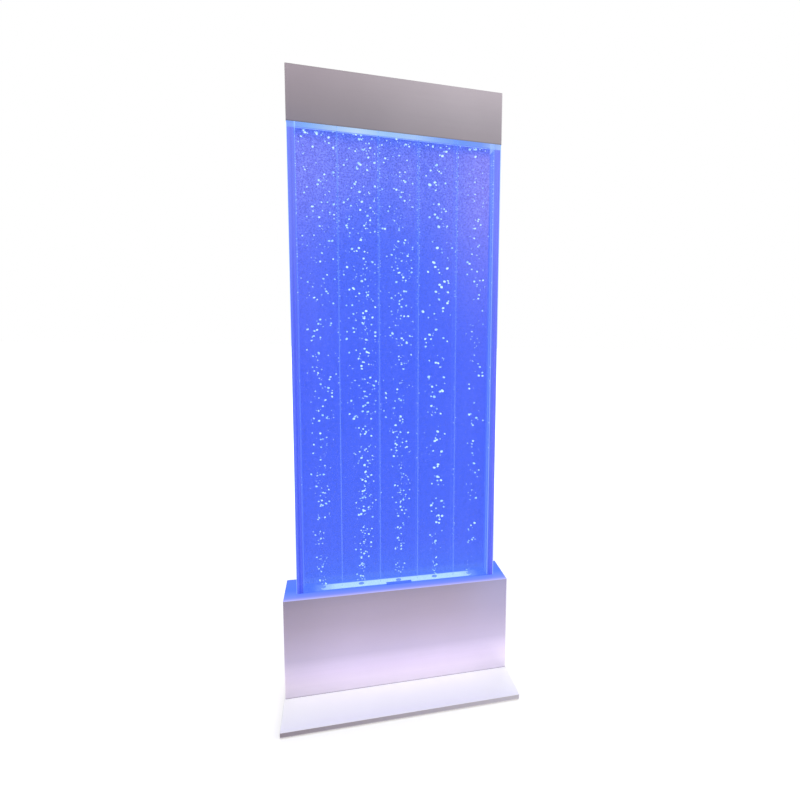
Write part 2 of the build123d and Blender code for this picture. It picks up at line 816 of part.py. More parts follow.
def make_light_trough():
    """White folded tray under the slot, with holes where the air tubes and a lead pass."""
    x, y = trough_half_length, trough_half_depth
    inner_low = trough_bottom + trough_sheet
    rim_low = tank_foot - trough_sheet
    front, rear = nozzle_y - y, nozzle_y + y
    trough = block(-x, x, front, rear, trough_bottom, tank_foot)
    trough += block(-x - trough_flange, x + trough_flange, front - trough_front_lip, rear + trough_flange,
                    rim_low, tank_foot)
    trough -= block(trough_sheet - x, x - trough_sheet, front + trough_sheet, rear - trough_sheet,
                    inner_low, tank_foot)
    trough -= [rod_z(place, nozzle_y, trough_bottom, inner_low, tube_hole_radius) for place in nozzle_xs]
    trough -= [rod_z(px, py, rim_low, tank_foot, screw_radius + pin_fit) for px, py in trough_screw_places()]
    trough -= rod_x(nozzle_y, trough_lead_z, x - trough_sheet, x, lead_radius + slip)
    save("light_trough", trough)


def make_light_strips():
    floor = trough_bottom + trough_sheet
    rows = [nozzle_y + offset for offset in mirrored(strip_offset)]
    save("base_led_strips", [light_strip(strip_half_length, y, floor, 1) for y in rows])
    x, half = profile_half_length, profile_width / 2
    web = tank_top + profile_height - profile_wall
    inner = half - profile_wall
    profile = block(-x, x, profile_y - half, profile_y + half, tank_top, tank_top + profile_height)
    profile -= block(-x, x, profile_y - inner, profile_y + inner, tank_top, web)
    save("cap_led_channel", profile)
    save("cap_led_strip", light_strip(x - strip_end_gap, profile_y, web, -1))
    reach = inner - slip
    save("cap_led_lens", block(-x, x, profile_y - reach, profile_y + reach, tank_top, tank_top + lens_thickness))


# Air system


def make_air_nozzles():
    """Through-wall nozzles with a seal above the floor, a nut below it and a barb for the tube."""
    barb_end = nozzle_foot - barb_length
    nozzles, nuts, seals = [], [], []
    for x in nozzle_xs:
        nozzle = rod_z(x, nozzle_y, nozzle_foot, nozzle_seat, nozzle_radius)
        nozzle += rod_z(x, nozzle_y, nozzle_seat, nozzle_flange_top, nozzle_flange_radius)
        tip = rod_z(x, nozzle_y, nozzle_flange_top, nozzle_flange_top + nozzle_tip, nozzle_tip_radius)
        nozzle += fillet(tip.edges().sort_by(Axis.Z)[-1], nozzle_tip_radius / 3)
        nozzle += rod_z(x, nozzle_y, barb_end, nozzle_foot, barb_radius)
        nozzles.append(nozzle - rod_z(x, nozzle_y, barb_end, nozzle_flange_top + nozzle_tip, nozzle_bore_radius))
        seal = rod_z(x, nozzle_y, floor_top, nozzle_seat, nozzle_flange_radius)
        seals.append(seal - rod_z(x, nozzle_y, floor_top, nozzle_seat, nozzle_radius + pin_fit))
        nut = hexagon(x, nozzle_y, nozzle_nut_bottom, tank_foot, nozzle_nut_radius)
        nuts.append(nut - rod_z(x, nozzle_y, nozzle_nut_bottom, tank_foot, nozzle_radius + pin_fit))
    save("air_nozzles", nozzles)
    save("nozzle_nuts", nuts)
    save("nozzle_seals", seals)


def make_air_manifold():
    """Gang manifold: an inlet, an outlet for each channel above, a bore for each knob behind."""
    half = manifold_side / 2
    right = manifold_left + manifold_length
    bar = block(manifold_left, right, -half, half, manifold_bottom, manifold_top)
    bar = fillet(bar.edges().filter_by(Axis.X), manifold_side / 8)
    bar += rod_x(0, manifold_z, manifold_left - barb_length, manifold_left, barb_radius)
    bar = bar + [rod_z(x, 0, manifold_top, manifold_top + barb_length, barb_radius) for x in outlet_xs]
    bar -= [rod_y(x, manifold_z, half - knob_stem_length - slip, half, knob_stem_radius + pin_fit)
            for x in outlet_xs]
    save("air_manifold", bar)


def make_manifold_bracket():
    reach = manifold_length / 2 - bracket_leg_inset
    width = bracket_width / 2
    bracket = block(manifold_x - reach, manifold_x + reach, -width, width,
                    manifold_bottom - skin, manifold_bottom)
    for side in (-1, 1):
        edge = manifold_x + side * reach
        leg = sorted([edge, edge - side * skin])
        foot = sorted([edge - side * skin, edge + side * bracket_foot])
        bracket += block(*leg, -width, width, plate_top, manifold_bottom)
        bracket += block(*foot, -width, width, plate_top, plate_top + skin)
    save("manifold_bracket", bracket - base_screw_holes())


def make_flow_knobs():
    face = manifold_side / 2
    for number, x in enumerate(outlet_xs, start=1):
        knob = rod_y(x, manifold_z, face - knob_stem_length, face + slip, knob_stem_radius)
        disc = rod_y(x, manifold_z, face + slip, face + slip + knob_length, knob_radius)
        knob += fillet(disc.edges().sort_by(Axis.Y)[-1], knob_length / 10)
        lever = block(x - knob_lever_width / 2, x + knob_lever_width / 2, face + slip + knob_length / 3,
                      face + slip + knob_length, manifold_z, manifold_z + knob_radius + knob_lever)
        knob += fillet(lever.edges().filter_by(Axis.Y).sort_by(Axis.Z)[-2:], knob_lever_width / 2.5)
        save(f"flow_knob_{number}", knob)


def make_air_tubes():
    """One tube from each manifold outlet, up through the trough to its nozzle."""
    start = manifold_top + slip
    end = nozzle_foot - slip
    rise = start + tube_first_rise
    turn = trough_bottom - tube_last_drop
    tubes = []
    for x, target in zip(outlet_xs, nozzle_xs):
        points = [(x, 0, start), (x, 0, rise), (target, nozzle_y, turn), (target, nozzle_y, end)]
        tubes.append(swept_tube("air_tube", points, tube_radius, tube_bore))
    save("air_tubes", tubes)


def make_pump():
    """Two-part pump case with its outlet barb, on rubber feet."""
    half = pump_width / 2
    bottom, top = pump_bottom, pump_bottom + pump_height
    case = block(pump_left, pump_right, -half, half, bottom, top)
    case = fillet(case.edges().filter_by(Axis.Z) + case.faces().sort_by(Axis.Z)[-1].edges(), pump_corner)
    hollow = block(pump_left + pump_wall, pump_right - pump_wall, pump_wall - half, half - pump_wall,
                   bottom + pump_wall, top - pump_wall)
    inner_edges = hollow.edges().filter_by(Axis.Z) + hollow.faces().sort_by(Axis.Z)[-1].edges()
    case -= fillet(inner_edges, pump_corner - pump_wall)
    lower = block(pump_left, pump_right, -half, half, bottom, bottom + pump_split)
    base = (case & lower) + rod_x(0, pump_outlet_z, pump_right - pump_wall, pump_right + barb_length, barb_radius)
    save("pump_base", base)
    save("pump_cover", case - lower)
    save("pump_feet", [rod_z(x, y, plate_top, bottom, pump_foot_radius)
                       for x in (pump_left + pump_foot_inset, pump_right - pump_foot_inset)
                       for y in mirrored(half - pump_foot_inset)])


def make_check_valve():
    valve = rod_x(0, pump_outlet_z, check_left, check_right, check_radius)
    valve = chamfer(valve.edges().filter_by(GeomType.CIRCLE), check_radius / 4)
    valve -= rod_x(0, pump_outlet_z, check_left, check_left + barb_length, barb_radius + pin_fit)
    save("check_valve", valve + rod_x(0, pump_outlet_z, check_right, check_right + barb_length, barb_radius))


def make_pump_hose():
    """Hose from the check valve up to the manifold's inlet."""
    start = check_right + slip
    end = manifold_left - slip
    run = (end - start) * 0.46
    points = [(start, 0, pump_outlet_z), (start + run, 0, pump_outlet_z),
              (end - run, 0, manifold_z), (end, 0, manifold_z)]
    save("pump_hose", swept_tube("pump_hose", points, tube_radius, tube_bore))


# Electrical parts


def make_supply_and_controller():
    """Power supply on the base plate, the light controller on top of it, and its button."""
    half = supply_width / 2
    supply = block(supply_left, supply_right, supply_y - half, supply_y + half, plate_top, supply_top)
    save("power_supply", fillet(supply.edges().filter_by(Axis.Z), supply_corner))
    half = controller_width / 2
    reach = controller_length / 2
    rear = supply_y + half
    box = block(supply_x - reach, supply_x + reach, supply_y - half, rear,
                supply_top, supply_top + controller_height)
    box = fillet(box.edges().filter_by(Axis.Z), controller_corner)
    well = rear - button_depth - button_travel - mesh_gap
    save("led_controller", box - rod_y(supply_x, controller_z, well, rear, button_radius + pin_fit))
    button = rod_y(supply_x, controller_z, rear - button_depth, rear + button_height, button_radius)
    save("mode_button", fillet(button.edges().sort_by(Axis.Y)[-1], button_height / 4))


def panel_block(z, width, height, y0, y1):
    """A box centred on the inlet's column, between two depths."""
    return block(inlet_x - width / 2, inlet_x + width / 2, y0, y1, z - height / 2, z + height / 2)


def make_mains_inlet():
    """Three-pin appliance inlet with its flange on the rear frame."""
    face = cabinet_rear + inlet_flange
    floor = face - socket_depth
    lip = panel_block(inlet_z, inlet_width + 2 * inlet_lip, inlet_height + 2 * inlet_lip, cabinet_rear, face)
    inlet = fillet(lip.edges().filter_by(Axis.Y), inlet_lip)
    inlet += panel_block(inlet_z, inlet_width, inlet_height, cabinet_rear - inlet_depth, cabinet_rear)
    inlet -= panel_block(inlet_z, socket_width, socket_height, floor, face)
    for x, z in ((-blade_pitch, -blade_offset), (0, blade_offset), (blade_pitch, -blade_offset)):
        inlet += Pos(x, 0, z) * panel_block(inlet_z, blade_width, blade_height, floor, floor + blade_length)
    save("mains_inlet", inlet)


def make_rocker_switch():
    """Switch frame and its two-position key on a cross pin."""
    face = cabinet_rear + rocker_flange
    back = cabinet_rear - rocker_depth
    lip = panel_block(rocker_z, rocker_width + 2 * rocker_lip, rocker_height + 2 * rocker_lip,
                      cabinet_rear, face)
    frame = fillet(lip.edges().filter_by(Axis.Y), rocker_lip)
    frame += panel_block(rocker_z, rocker_width, rocker_height, back, cabinet_rear)
    well_width = rocker_width - 2 * rocker_wall
    well_height = rocker_height - 2 * rocker_wall
    frame -= panel_block(rocker_z, well_width, well_height, back + rocker_wall, face)
    pin_reach = well_width / 2 + rocker_wall / 2
    frame -= rod_x(rocker_pivot_y, rocker_z, inlet_x - pin_reach - slip, inlet_x + pin_reach + slip,
                   rocker_pin_radius + pin_fit)
    save("rocker_frame", frame)
    half = well_height / 2 - rocker_key_gap
    proud = face - rocker_pivot_y + rocker_key_gap / 2
    outline = Polyline((-rocker_key_back, -0.6 * half), (proud, -half), (proud - rocker_key_gap / 2, 0),
                       (proud, half), (-rocker_key_back, 0.6 * half), close=True)
    key = Rot(rocker_tilt, 0, 0) * extrude(Plane.YZ * make_face(outline), well_width / 2 - slip, both=True)
    key += Rot(0, 90, 0) * Cylinder(rocker_pin_radius, 2 * pin_reach)
    save("rocker_key", Pos(inlet_x, rocker_pivot_y, rocker_z) * key)


def make_power_leads():
    """Inlet to supply, switch to pump along the base plate, and supply to controller."""
    inlet_back = cabinet_rear - inlet_depth
    supply_z = plate_top + supply_height / 2
    mains = [(inlet_x, inlet_back, inlet_z), (inlet_x, inlet_back - 24, inlet_z),
             (inlet_x + 4, supply_y + 23, inlet_z - 36), (supply_right + 26, supply_y + 10, supply_z),
             (supply_right, supply_y + 10, supply_z)]
    rocker_back = cabinet_rear - rocker_depth
    floor_z = plate_top + cable_radius + slip
    lane = bracket_width / 2 + 4 * cable_radius
    pump = [(inlet_x, rocker_back, rocker_z), (inlet_x, rocker_back - 26, rocker_z),
            (inlet_x - 20, lane + 4, inlet_z), (inlet_x - 30, lane, plate_top + 24),
            (inlet_x - 56, lane, floor_z), (pump_right + 56, lane, floor_z),
            (pump_right + 26, lane, pump_bottom + 12), (pump_right, lane, pump_bottom + 12)]
    back = supply_left - 24
    controller_left = supply_x - controller_length / 2
    link = [(supply_left, supply_y, supply_z), (back, supply_y, supply_z),
            (back, supply_y, controller_z), (controller_left, supply_y, controller_z)]
    save("power_leads", [swept_tube("inlet_lead", mains, cable_radius),
                         swept_tube("pump_lead", pump, cable_radius),
                         swept_tube("supply_lead", link, lead_radius)])


def make_led_leads():
    """Controller to the trough's end wall, and controller to the cap through the bored side bar."""
    start = supply_x + controller_length / 2
    riser_x = frame_inner_x - 9
    low = [(start, supply_y - 13, controller_z), (start + 30, supply_y - 13, controller_z),
           (riser_x - 2, supply_y + 5, inlet_z + 40), (riser_x, nozzle_y, trough_bottom - 40),
           (riser_x, nozzle_y, trough_lead_z),
           (trough_half_length - 2 * trough_sheet, nozzle_y, trough_lead_z)]
    high = [(start, supply_y - 3, controller_z), (start + 44, supply_y - 3, controller_z),
            (side_bar_x, 0, inlet_z + 40), (side_bar_x, 0, tank_top + 13),
            (profile_half_length, profile_y, tank_top + 5)]
    save("led_leads", [swept_tube("trough_lead", low, lead_radius),
                       swept_tube("cap_lead", high, lead_radius)])


# Drain


def make_drain_valve():
    """Ball valve under the floor's left end, and its lever, closed."""
    low = drain_z - drain_body_radius - 2
    boss_face = nozzle_y + drain_body_radius + drain_boss_length
    body = rod_z(drain_x, nozzle_y, low, tank_foot, drain_body_radius)
    body = fillet(body.edges().sort_by(Axis.Z)[0], drain_body_radius / 5)
    body += rod_z(drain_x, nozzle_y, tank_foot, floor_top, drain_stem_radius)
    body += rod_z(drain_x, nozzle_y, low - drain_barb_length, low, drain_barb_radius)
    body += rod_y(drain_x, drain_z, nozzle_y, boss_face, drain_boss_radius)
    body -= rod_z(drain_x, nozzle_y, drain_z + drain_body_radius, floor_top, drain_bore_radius)
    body -= rod_z(drain_x, nozzle_y, low - drain_barb_length, drain_z - drain_body_radius, drain_bore_radius)
    seat = nozzle_y + lever_stem_radius
    body -= rod_y(drain_x, drain_z, seat, boss_face, lever_stem_radius + pin_fit)
    save("drain_valve", body)
    plate_y0 = boss_face + slip
    stem = rod_y(drain_x, drain_z, seat + slip, plate_y0, lever_stem_radius)
    lever = block(drain_x - lever_length, drain_x + lever_width / 2, plate_y0, plate_y0 + lever_thickness,
                  drain_z - lever_width / 2, drain_z + lever_width / 2)
    save("drain_lever", stem + fillet(lever.edges().filter_by(Axis.Y), lever_width / 2.2))


make_base_plate()
make_base_core()
make_foot_pads()
make_base_screws()
make_cabinet_shell()
make_rear_frame()
make_cabinet_fasteners()
make_support_frames()
make_hinges()
make_service_door()
make_latch()
make_tank_sheets()
make_side_bars()
make_tank_floor()
make_slot_diffuser()
make_tank_top_bar()
make_tank_dividers()
make_water()
make_tank_seat_pad()
make_tank_screws()
make_fill_plug()
make_top_cap()
make_cap_brackets()
make_light_trough()
make_light_strips()
make_air_nozzles()
make_air_manifold()
make_manifold_bracket()
make_flow_knobs()
make_air_tubes()
make_pump()
make_check_valve()
make_pump_hose()
make_supply_and_controller()
make_mains_inlet()
make_rocker_switch()
make_power_leads()
make_led_leads()
make_drain_valve()
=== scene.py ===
# %% [markdown]
# # Bubble wall floor lamp
#
# A tall acrylic tank stands in a folded steel cabinet. An air pump sends bubbles up its five
# channels, light strips below the tank and inside the cap make the water glow, and a steel cap
# closes the top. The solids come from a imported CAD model, in metres, with +Z up and the front
# facing -Y. This file gives each solid its finish, fills the water with bubbles, and sets up the
# camera and the studio. It is read from top to bottom, like a notebook.

import bmesh
import bpy
import math
from mathutils import Matrix, Vector


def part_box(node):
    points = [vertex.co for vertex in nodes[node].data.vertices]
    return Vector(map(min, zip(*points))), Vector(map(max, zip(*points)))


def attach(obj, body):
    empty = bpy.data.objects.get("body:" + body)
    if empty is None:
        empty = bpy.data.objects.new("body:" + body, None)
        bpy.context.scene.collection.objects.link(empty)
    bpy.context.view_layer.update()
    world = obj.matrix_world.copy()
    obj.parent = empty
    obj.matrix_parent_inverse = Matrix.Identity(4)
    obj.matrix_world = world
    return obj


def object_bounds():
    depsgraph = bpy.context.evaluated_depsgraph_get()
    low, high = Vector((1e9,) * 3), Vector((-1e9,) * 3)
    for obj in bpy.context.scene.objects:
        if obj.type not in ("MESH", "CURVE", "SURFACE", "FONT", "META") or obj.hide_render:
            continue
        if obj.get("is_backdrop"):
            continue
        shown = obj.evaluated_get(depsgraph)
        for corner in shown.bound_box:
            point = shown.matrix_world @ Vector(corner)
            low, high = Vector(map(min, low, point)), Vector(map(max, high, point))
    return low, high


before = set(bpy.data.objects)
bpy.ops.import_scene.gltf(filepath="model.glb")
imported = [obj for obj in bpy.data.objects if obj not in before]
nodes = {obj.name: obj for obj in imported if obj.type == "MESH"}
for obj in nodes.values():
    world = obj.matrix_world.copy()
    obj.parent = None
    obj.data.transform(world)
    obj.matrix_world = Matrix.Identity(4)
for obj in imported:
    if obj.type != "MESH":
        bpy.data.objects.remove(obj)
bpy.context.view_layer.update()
scene = bpy.context.scene

# %% [markdown]
# Finishes and bubbles line up with the solids: a glow begins at the tank's floor, a bubble stays in
# its channel. A typed place would be wrong after a change of size, so each is read from a solid's
# box where it is first needed.

# %% Places read from the solids
X, Y, Z = range(3)


def reach(name, axis):
    """Where a CAD node begins and ends along an axis, to a tenth of a millimetre."""
    low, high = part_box(name)
    return round(low[axis], 4), round(high[axis], 4)


print("the tank begins and ends at", *reach("tank_rear_sheet", Z), "m")

# %% [markdown]
# ## The camera
#
# The photograph was taken with a wide lens from a little left of the lamp, at chest height, and
# the lamp stands left of the lens axis. The place and the turn below come from fitting the lamp's
# straight edges. The axis meets the picture right of its middle, so the lens is shifted by just
# that much: a shift keeps the edges' slants as they are, which turning the camera would not.

# %% Camera
camera_data = bpy.data.cameras.new("photo_camera")
camera_data.lens = 26.57
camera_data.sensor_width = 36
camera_data.shift_x = -0.14375
camera_data.shift_y = -0.00125
camera = bpy.data.objects.new("photo_camera", camera_data)
stand = (-0.1793, -1.8383, 1.1322)
yaw, pitch, roll = -0.29393, -0.11889, -0.02268
turn = Matrix.Rotation(yaw, 4, "Z") @ Matrix.Rotation(pitch, 4, "X") @ Matrix.Rotation(roll, 4, "Y")
look_ahead = Matrix.Rotation(math.radians(90), 4, "X")
camera.matrix_world = Matrix.Translation(stand) @ turn @ look_ahead
scene.collection.objects.link(camera)
scene.camera = camera
print("camera at", [round(v, 3) for v in camera.matrix_world.translation])

# %% [markdown]
# ## Wires that do sums
#
# A finish, and a shape that repeats, are both small graphs of nodes. Wiring Math nodes by hand
# hides the formula, so one class wraps an output socket and turns Python's operators into Math
# nodes: `1 - mask * 0.5` reads as the formula and still builds nodes.

# %% Wires


def sums(operation, swapped=False):
    """A method that adds one Math node. Swapped is for a plain number on the left."""

    def method(self, other):
        return self.maths(operation, *((other, self) if swapped else (self, other)))

    return method


class Wire:
    """An output socket on which Python's operators add Math nodes."""

    def __init__(self, graph, socket):
        self.graph, self.socket = graph, socket

    def maths(self, operation, *values):
        return self.graph.node("ShaderNodeMath", {"operation": operation}, values)

    __add__, __radd__ = sums("ADD"), sums("ADD", True)
    __sub__, __rsub__ = sums("SUBTRACT"), sums("SUBTRACT", True)
    __mul__, __rmul__ = sums("MULTIPLY"), sums("MULTIPLY", True)
    __pow__ = sums("POWER")
    __gt__, __lt__ = sums("GREATER_THAN"), sums("LESS_THAN")
    largest, smallest = sums("MAXIMUM"), sums("MINIMUM")

    def __abs__(self):
        return self.maths("ABSOLUTE", self)

    def near(self, place, width):
        """1 within width of a place, 0 further off."""
        return abs(self - place) < width

    def wave(self, pitch):
        """A cosine that is 1 at every multiple of the pitch."""
        return self.maths("COSINE", self * (2 * math.pi / pitch))


# %% Graphs


class Graph:
    """A node tree while it is being wired."""

    def __init__(self, tree):
        self.tree = tree
        tree.nodes.clear()

    def node(self, kind, settings=None, values=(), output=0):
        """Add a node: its settings first, then the values or wires of its sockets."""
        made = self.tree.nodes.new(kind)
        for key, setting in (settings or {}).items():
            if key == "stops":
                ramp = made.color_ramp
                while len(ramp.elements) < len(setting):
                    ramp.elements.new(1)
                for element, (place, colour) in zip(ramp.elements, setting):
                    element.position, element.color = place, colour
            else:
                setattr(made, key, setting)
        pairs = values.items() if isinstance(values, dict) else enumerate(values)
        for key, value in pairs:
            if isinstance(value, Wire):
                self.tree.links.new(value.socket, made.inputs[key])
            else:
                made.inputs[key].default_value = value
        return Wire(self, made.outputs[output]) if made.outputs else made

    def apart(self, vector):
        """The three numbers of a vector."""
        split = self.node("ShaderNodeSeparateXYZ", values=[vector]).socket.node
        return [Wire(self, output) for output in split.outputs]

    def between(self, value, low, high, start=0, end=1):
        """A number that goes smoothly from start to end as value goes from low to high."""
        span = {"Value": value, "From Min": low, "From Max": high, "To Min": start, "To Max": end}
        return self.node("ShaderNodeMapRange", {"interpolation_type": "SMOOTHSTEP"}, span)


# %% [markdown]
# A material is such a graph with a few more words. Colours go through Mix nodes, because a Math
# node would turn them grey. They are written as they look on a screen, and made linear.

# %% Finishes and colours


class Finish(Graph):
    """A material while its nodes are being wired."""

    def __init__(self, name):
        self.material = bpy.data.materials.new(name)
        self.material.use_nodes = True
        super().__init__(self.material.node_tree)

    def place(self):
        """The x, y and z of the shaded point, in metres."""
        return self.apart(self.node("ShaderNodeTexCoord", output="Object"))

    def ramp(self, value, low, high, stops):
        """A colour picked along stops as value goes from low to high."""
        span = {"Value": value, "From Min": low, "From Max": high}
        share = self.node("ShaderNodeMapRange", {"clamp": True}, span)
        return self.node("ShaderNodeValToRGB", {"stops": stops}, [share])

    def mix(self, factor, first, second, blend="MIX"):
        """A colour between two colours."""
        settings = {"data_type": "RGBA", "blend_type": blend}
        return self.node("ShaderNodeMix", settings, {0: factor, 6: first, 7: second}, output=2)

    def noise(self, scale, stretch=(1, 1, 1), detail=2):
        """Soft noise around 0.5, finer along the axes with a larger stretch."""
        spot = self.node("ShaderNodeTexCoord", output="Object")
        spot = self.node("ShaderNodeMapping", values={"Vector": spot, "Scale": stretch})
        return self.node("ShaderNodeTexNoise", values={"Vector": spot, "Scale": scale, "Detail": detail})

    def toned(self, colour, tone):
        """A colour made lighter or darker by a number near 1."""
        grey = self.node("ShaderNodeCombineColor", values=[tone, tone, tone])
        return self.mix(1.0, colour, grey, "MULTIPLY")

    def bump(self, height, distance, strength=1.0):
        values = {"Strength": strength, "Distance": distance, "Height": height}
        return self.node("ShaderNodeBump", values=values)

    def shade(self, **values):
        """The closing Principled shader. Underscores in names stand for spaces."""
        named = {key.replace("_", " "): value for key, value in values.items()}
        surface = self.node("ShaderNodeBsdfPrincipled", values=named)
        self.node("ShaderNodeOutputMaterial", values={"Surface": surface})
        return self.material


def seen(red, green, blue):
    """A colour given as it looks on a screen, 0 to 255, as the linear colour that a shader needs."""

    def linear(value):
        value = value / 255
        return value / 12.92 if value <= 0.04045 else ((value + 0.055) / 1.055) ** 2.4

    return linear(red), linear(green), linear(blue), 1.0


def dress(material, *names):
    """Give CAD nodes one finish."""
    for name in names:
        for slot in nodes[name].material_slots:
            slot.material = material
    print(material.name, "on", ", ".join(names))


print("screen grey 188 is", round(seen(188, 188, 188)[0], 3), "in linear light")

# %% [markdown]
# ## The studio
#
# The lamp was cut out on white. The floor is a pale matt sheet that keeps a soft shadow, and a
# little light of its own, given only to rays from the camera, from gloss and from glass, lifts
# it to white there. The surroundings are white to the same rays and gentler to all others, so
# white never comes from more light on the lamp.

# %% Floor and surroundings
far = 30


def seen_directly(graph):
    """1 on rays from the camera, from gloss and from glass."""
    path = graph.node("ShaderNodeLightPath").socket.node
    camera_ray, gloss_ray, glass_ray = [
        Wire(graph, path.outputs[f"Is {kind} Ray"]) for kind in ("Camera", "Glossy", "Transmission")
    ]
    return camera_ray.largest(gloss_ray).largest(glass_ray)


paper = Finish("floor_paper")
x, y, z = paper.place()
far_off = paper.between(x * x + y * y, 1.0, 9.0, 0.36, 1.0)
matt = paper.node("ShaderNodeBsdfDiffuse", values={"Color": (0.86, 0.86, 0.87, 1)})
lift = paper.node("ShaderNodeEmission", values={"Strength": seen_directly(paper) * far_off})
both = paper.node("ShaderNodeAddShader", values=[matt, lift])
paper.node("ShaderNodeOutputMaterial", values={"Surface": both})

mesh = bpy.data.meshes.new("floor")
mesh.from_pydata([(-far, -far, 0), (far, -far, 0), (far, far, 0), (-far, far, 0)], [], [(0, 1, 2, 3)])
mesh.materials.append(paper.material)
floor = bpy.data.objects.new("floor", mesh)
scene.collection.objects.link(floor)
floor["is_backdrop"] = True

scene.world = bpy.data.worlds.new("studio")
scene.world.use_nodes = True
studio = Graph(scene.world.node_tree)
strength = studio.between(seen_directly(studio), 0, 1, 0.62, 1.0)
back = studio.node("ShaderNodeBackground", values={"Color": (1, 1, 1, 1), "Strength": strength})
studio.node("ShaderNodeOutputWorld", values={"Surface": back})
print("the floor is", 2 * far, "m square")

# %% [markdown]
# Three large soft lamps light the steel. They stay weak, so colours come out about as they are
# written. The tank is many clear layers deep, and each costs a ray one of the bounces that pass
# straight through, so their number is raised.

# %% Lamps


def lamp(name, place, target, size, power):
    """A square soft lamp that faces a point."""
    data = bpy.data.lights.new(name, "AREA")
    data.size, data.energy = size, power
    made = bpy.data.objects.new(name, data)
    aim = Vector(target) - Vector(place)
    made.matrix_world = Matrix.Translation(place) @ aim.to_track_quat("-Z", "Y").to_matrix().to_4x4()
    scene.collection.objects.link(made)
    print(name, "at", place)


lamp("key_lamp", (-1.6, -3.0, 3.2), (0, 0, 0.7), 2.2, 42)
lamp("fill_lamp", (2.6, -2.2, 2.0), (0, 0, 0.7), 2.4, 22)
lamp("rear_lamp", (0.6, 3.2, 2.8), (0, 0, 0.9), 2.4, 30)
scene.view_settings.view_transform = "Standard"
scene.cycles.transparent_max_bounces = 48

# %% [markdown]
# ## Brushed steel
#
# The cap, the cabinet and the base plate are folded from satin stainless sheet. Up close it has
# fine grain along its length; from the camera only the soft play of light is left. The grain is
# noise that is stretched along X, used three times: a trace in the colour, more in the roughness
# and a hair's breadth in the bump. Broad noise adds the faint clouds that handling leaves.

# %% Brushed steel
DARK = (0, 0, 0, 1)


def brushed_steel(name, look_of, metal=0.9, rough=0.36):
    """Satin sheet. look_of gets the finish and returns the colour, the light of its own that
    the sheet has caught, and where that light is (1) or isn't (0; plain 0 for nowhere)."""
    steel = Finish(name)
    colour, caught, where = look_of(steel)
    grain = steel.noise(1.0, (6, 900, 900), 3)
    clouds = steel.noise(7.0, detail=3)
    return steel.shade(
        Base_Color=steel.toned(colour, 0.93 + 0.07 * grain + 0.07 * clouds),
        Metallic=metal - metal * 0.85 * where,
        Roughness=rough - 0.07 + 0.08 * grain + 0.06 * clouds,
        Emission_Color=steel.mix(where, DARK, caught) if where else DARK,
        Emission_Strength=1.0,
        Specular_IOR_Level=0.0,
        Normal=steel.bump(grain, 0.00006, 0.5),
    )


# %% The cap
cap_foot, cap_top = reach("top_cap", Z)


def cap_look(steel):
    """Warm grey in painted light: paler towards the top and the right end, with a line of painted shade
    along the lower edge.
    """
    x, y, z = steel.place()
    left = [(0, seen(106, 101, 111)), (0.35, seen(112, 105, 112)), (1, seen(122, 113, 120))]
    right = [(0, seen(148, 141, 148)), (0.35, seen(158, 151, 158)), (1, seen(178, 169, 176))]
    left, right = steel.ramp(z, cap_foot, cap_top, left), steel.ramp(z, cap_foot, cap_top, right)
    # Painted shade: darker within a few millimetres of the cap's lower edge.
    hem_shade = steel.between(z, cap_foot + 0.0005, cap_foot + 0.0035, 0.72, 1.0)
    return steel.toned(steel.mix(steel.between(x, -0.42, 0.2), left, right), hem_shade), DARK, 0


dress(brushed_steel("cap_steel", cap_look), "top_cap")

# %% [markdown]
# The cabinet's walls would reflect the pale plate below them; that reflection is painted into their colour,
# so they grow paler towards the foot. Their lilac tint is painted blue light from the tank. Painted shade
# darkens their left end, and painted blue light tints the right end. Its ledge lies round the lit tank and
# has caught the water's blue. A reflection of a glow this soft is noisy to trace, so the ledge gets its
# blue as light of its own, and is no mirror there.

# %% The cabinet
cabinet_foot, ledge_top = reach("cabinet_shell", Z)
cabinet_front = reach("cabinet_shell", Y)[0]


def cabinet_look(steel):
    """Lilac grey walls in painted light, paler towards the foot, with a dark joint line at the very foot,
    and a blue ledge of painted light that pales to a painted highlight on its front fold."""
    x, y, z = steel.place()
    # Painted reflection of the plate and painted blue light: lilac grey, paler towards the foot.
    upwards = [
        (0.0, seen(150, 140, 158)), (0.01, seen(232, 224, 238)), (0.12, seen(247, 235, 251)),
        (0.22, seen(243, 229, 250)), (0.3, seen(230, 217, 240)), (0.38, seen(209, 197, 221)),
        (0.5, seen(200, 187, 210)), (0.72, seen(181, 168, 188)), (0.9, seen(169, 157, 176)),
        (1.0, seen(156, 146, 166)),
    ]
    # Painted shade: the walls darken towards the left end.
    left_end_shade = steel.between(x, -0.35, -0.14, 0.86, 1.0)
    walls = steel.toned(steel.ramp(z, cabinet_foot, ledge_top - 0.003, upwards), left_end_shade)
    # Painted blue light: the walls at the right end turn bluer, more so higher up.
    blue_spill = steel.between(x, 0.12, 0.34) * steel.between(z, 0.1, 0.3, 0.1, 0.4)
    walls = steel.mix(blue_spill, walls, seen(172, 172, 214))
    backwards = [
        (0.0, seen(190, 188, 240)), (0.05, seen(155, 158, 236)), (0.11, seen(126, 142, 242)),
        (0.25, seen(104, 134, 248)), (0.44, seen(82, 121, 247)), (1.0, seen(88, 122, 246)),
    ]
    blue = steel.ramp(y, cabinet_front, -cabinet_front, backwards)
    ledge = steel.between(z, ledge_top - 0.0022, ledge_top - 0.0006)
    return steel.mix(ledge, walls, (0.02, 0.04, 0.20, 1)), blue, ledge


dress(brushed_steel("cabinet_steel", cabinet_look), "cabinet_shell")

# %% The base plate
plate_foot, plate_top = reach("base_plate", Z)
plate_edge = reach("base_plate", Y)[1]


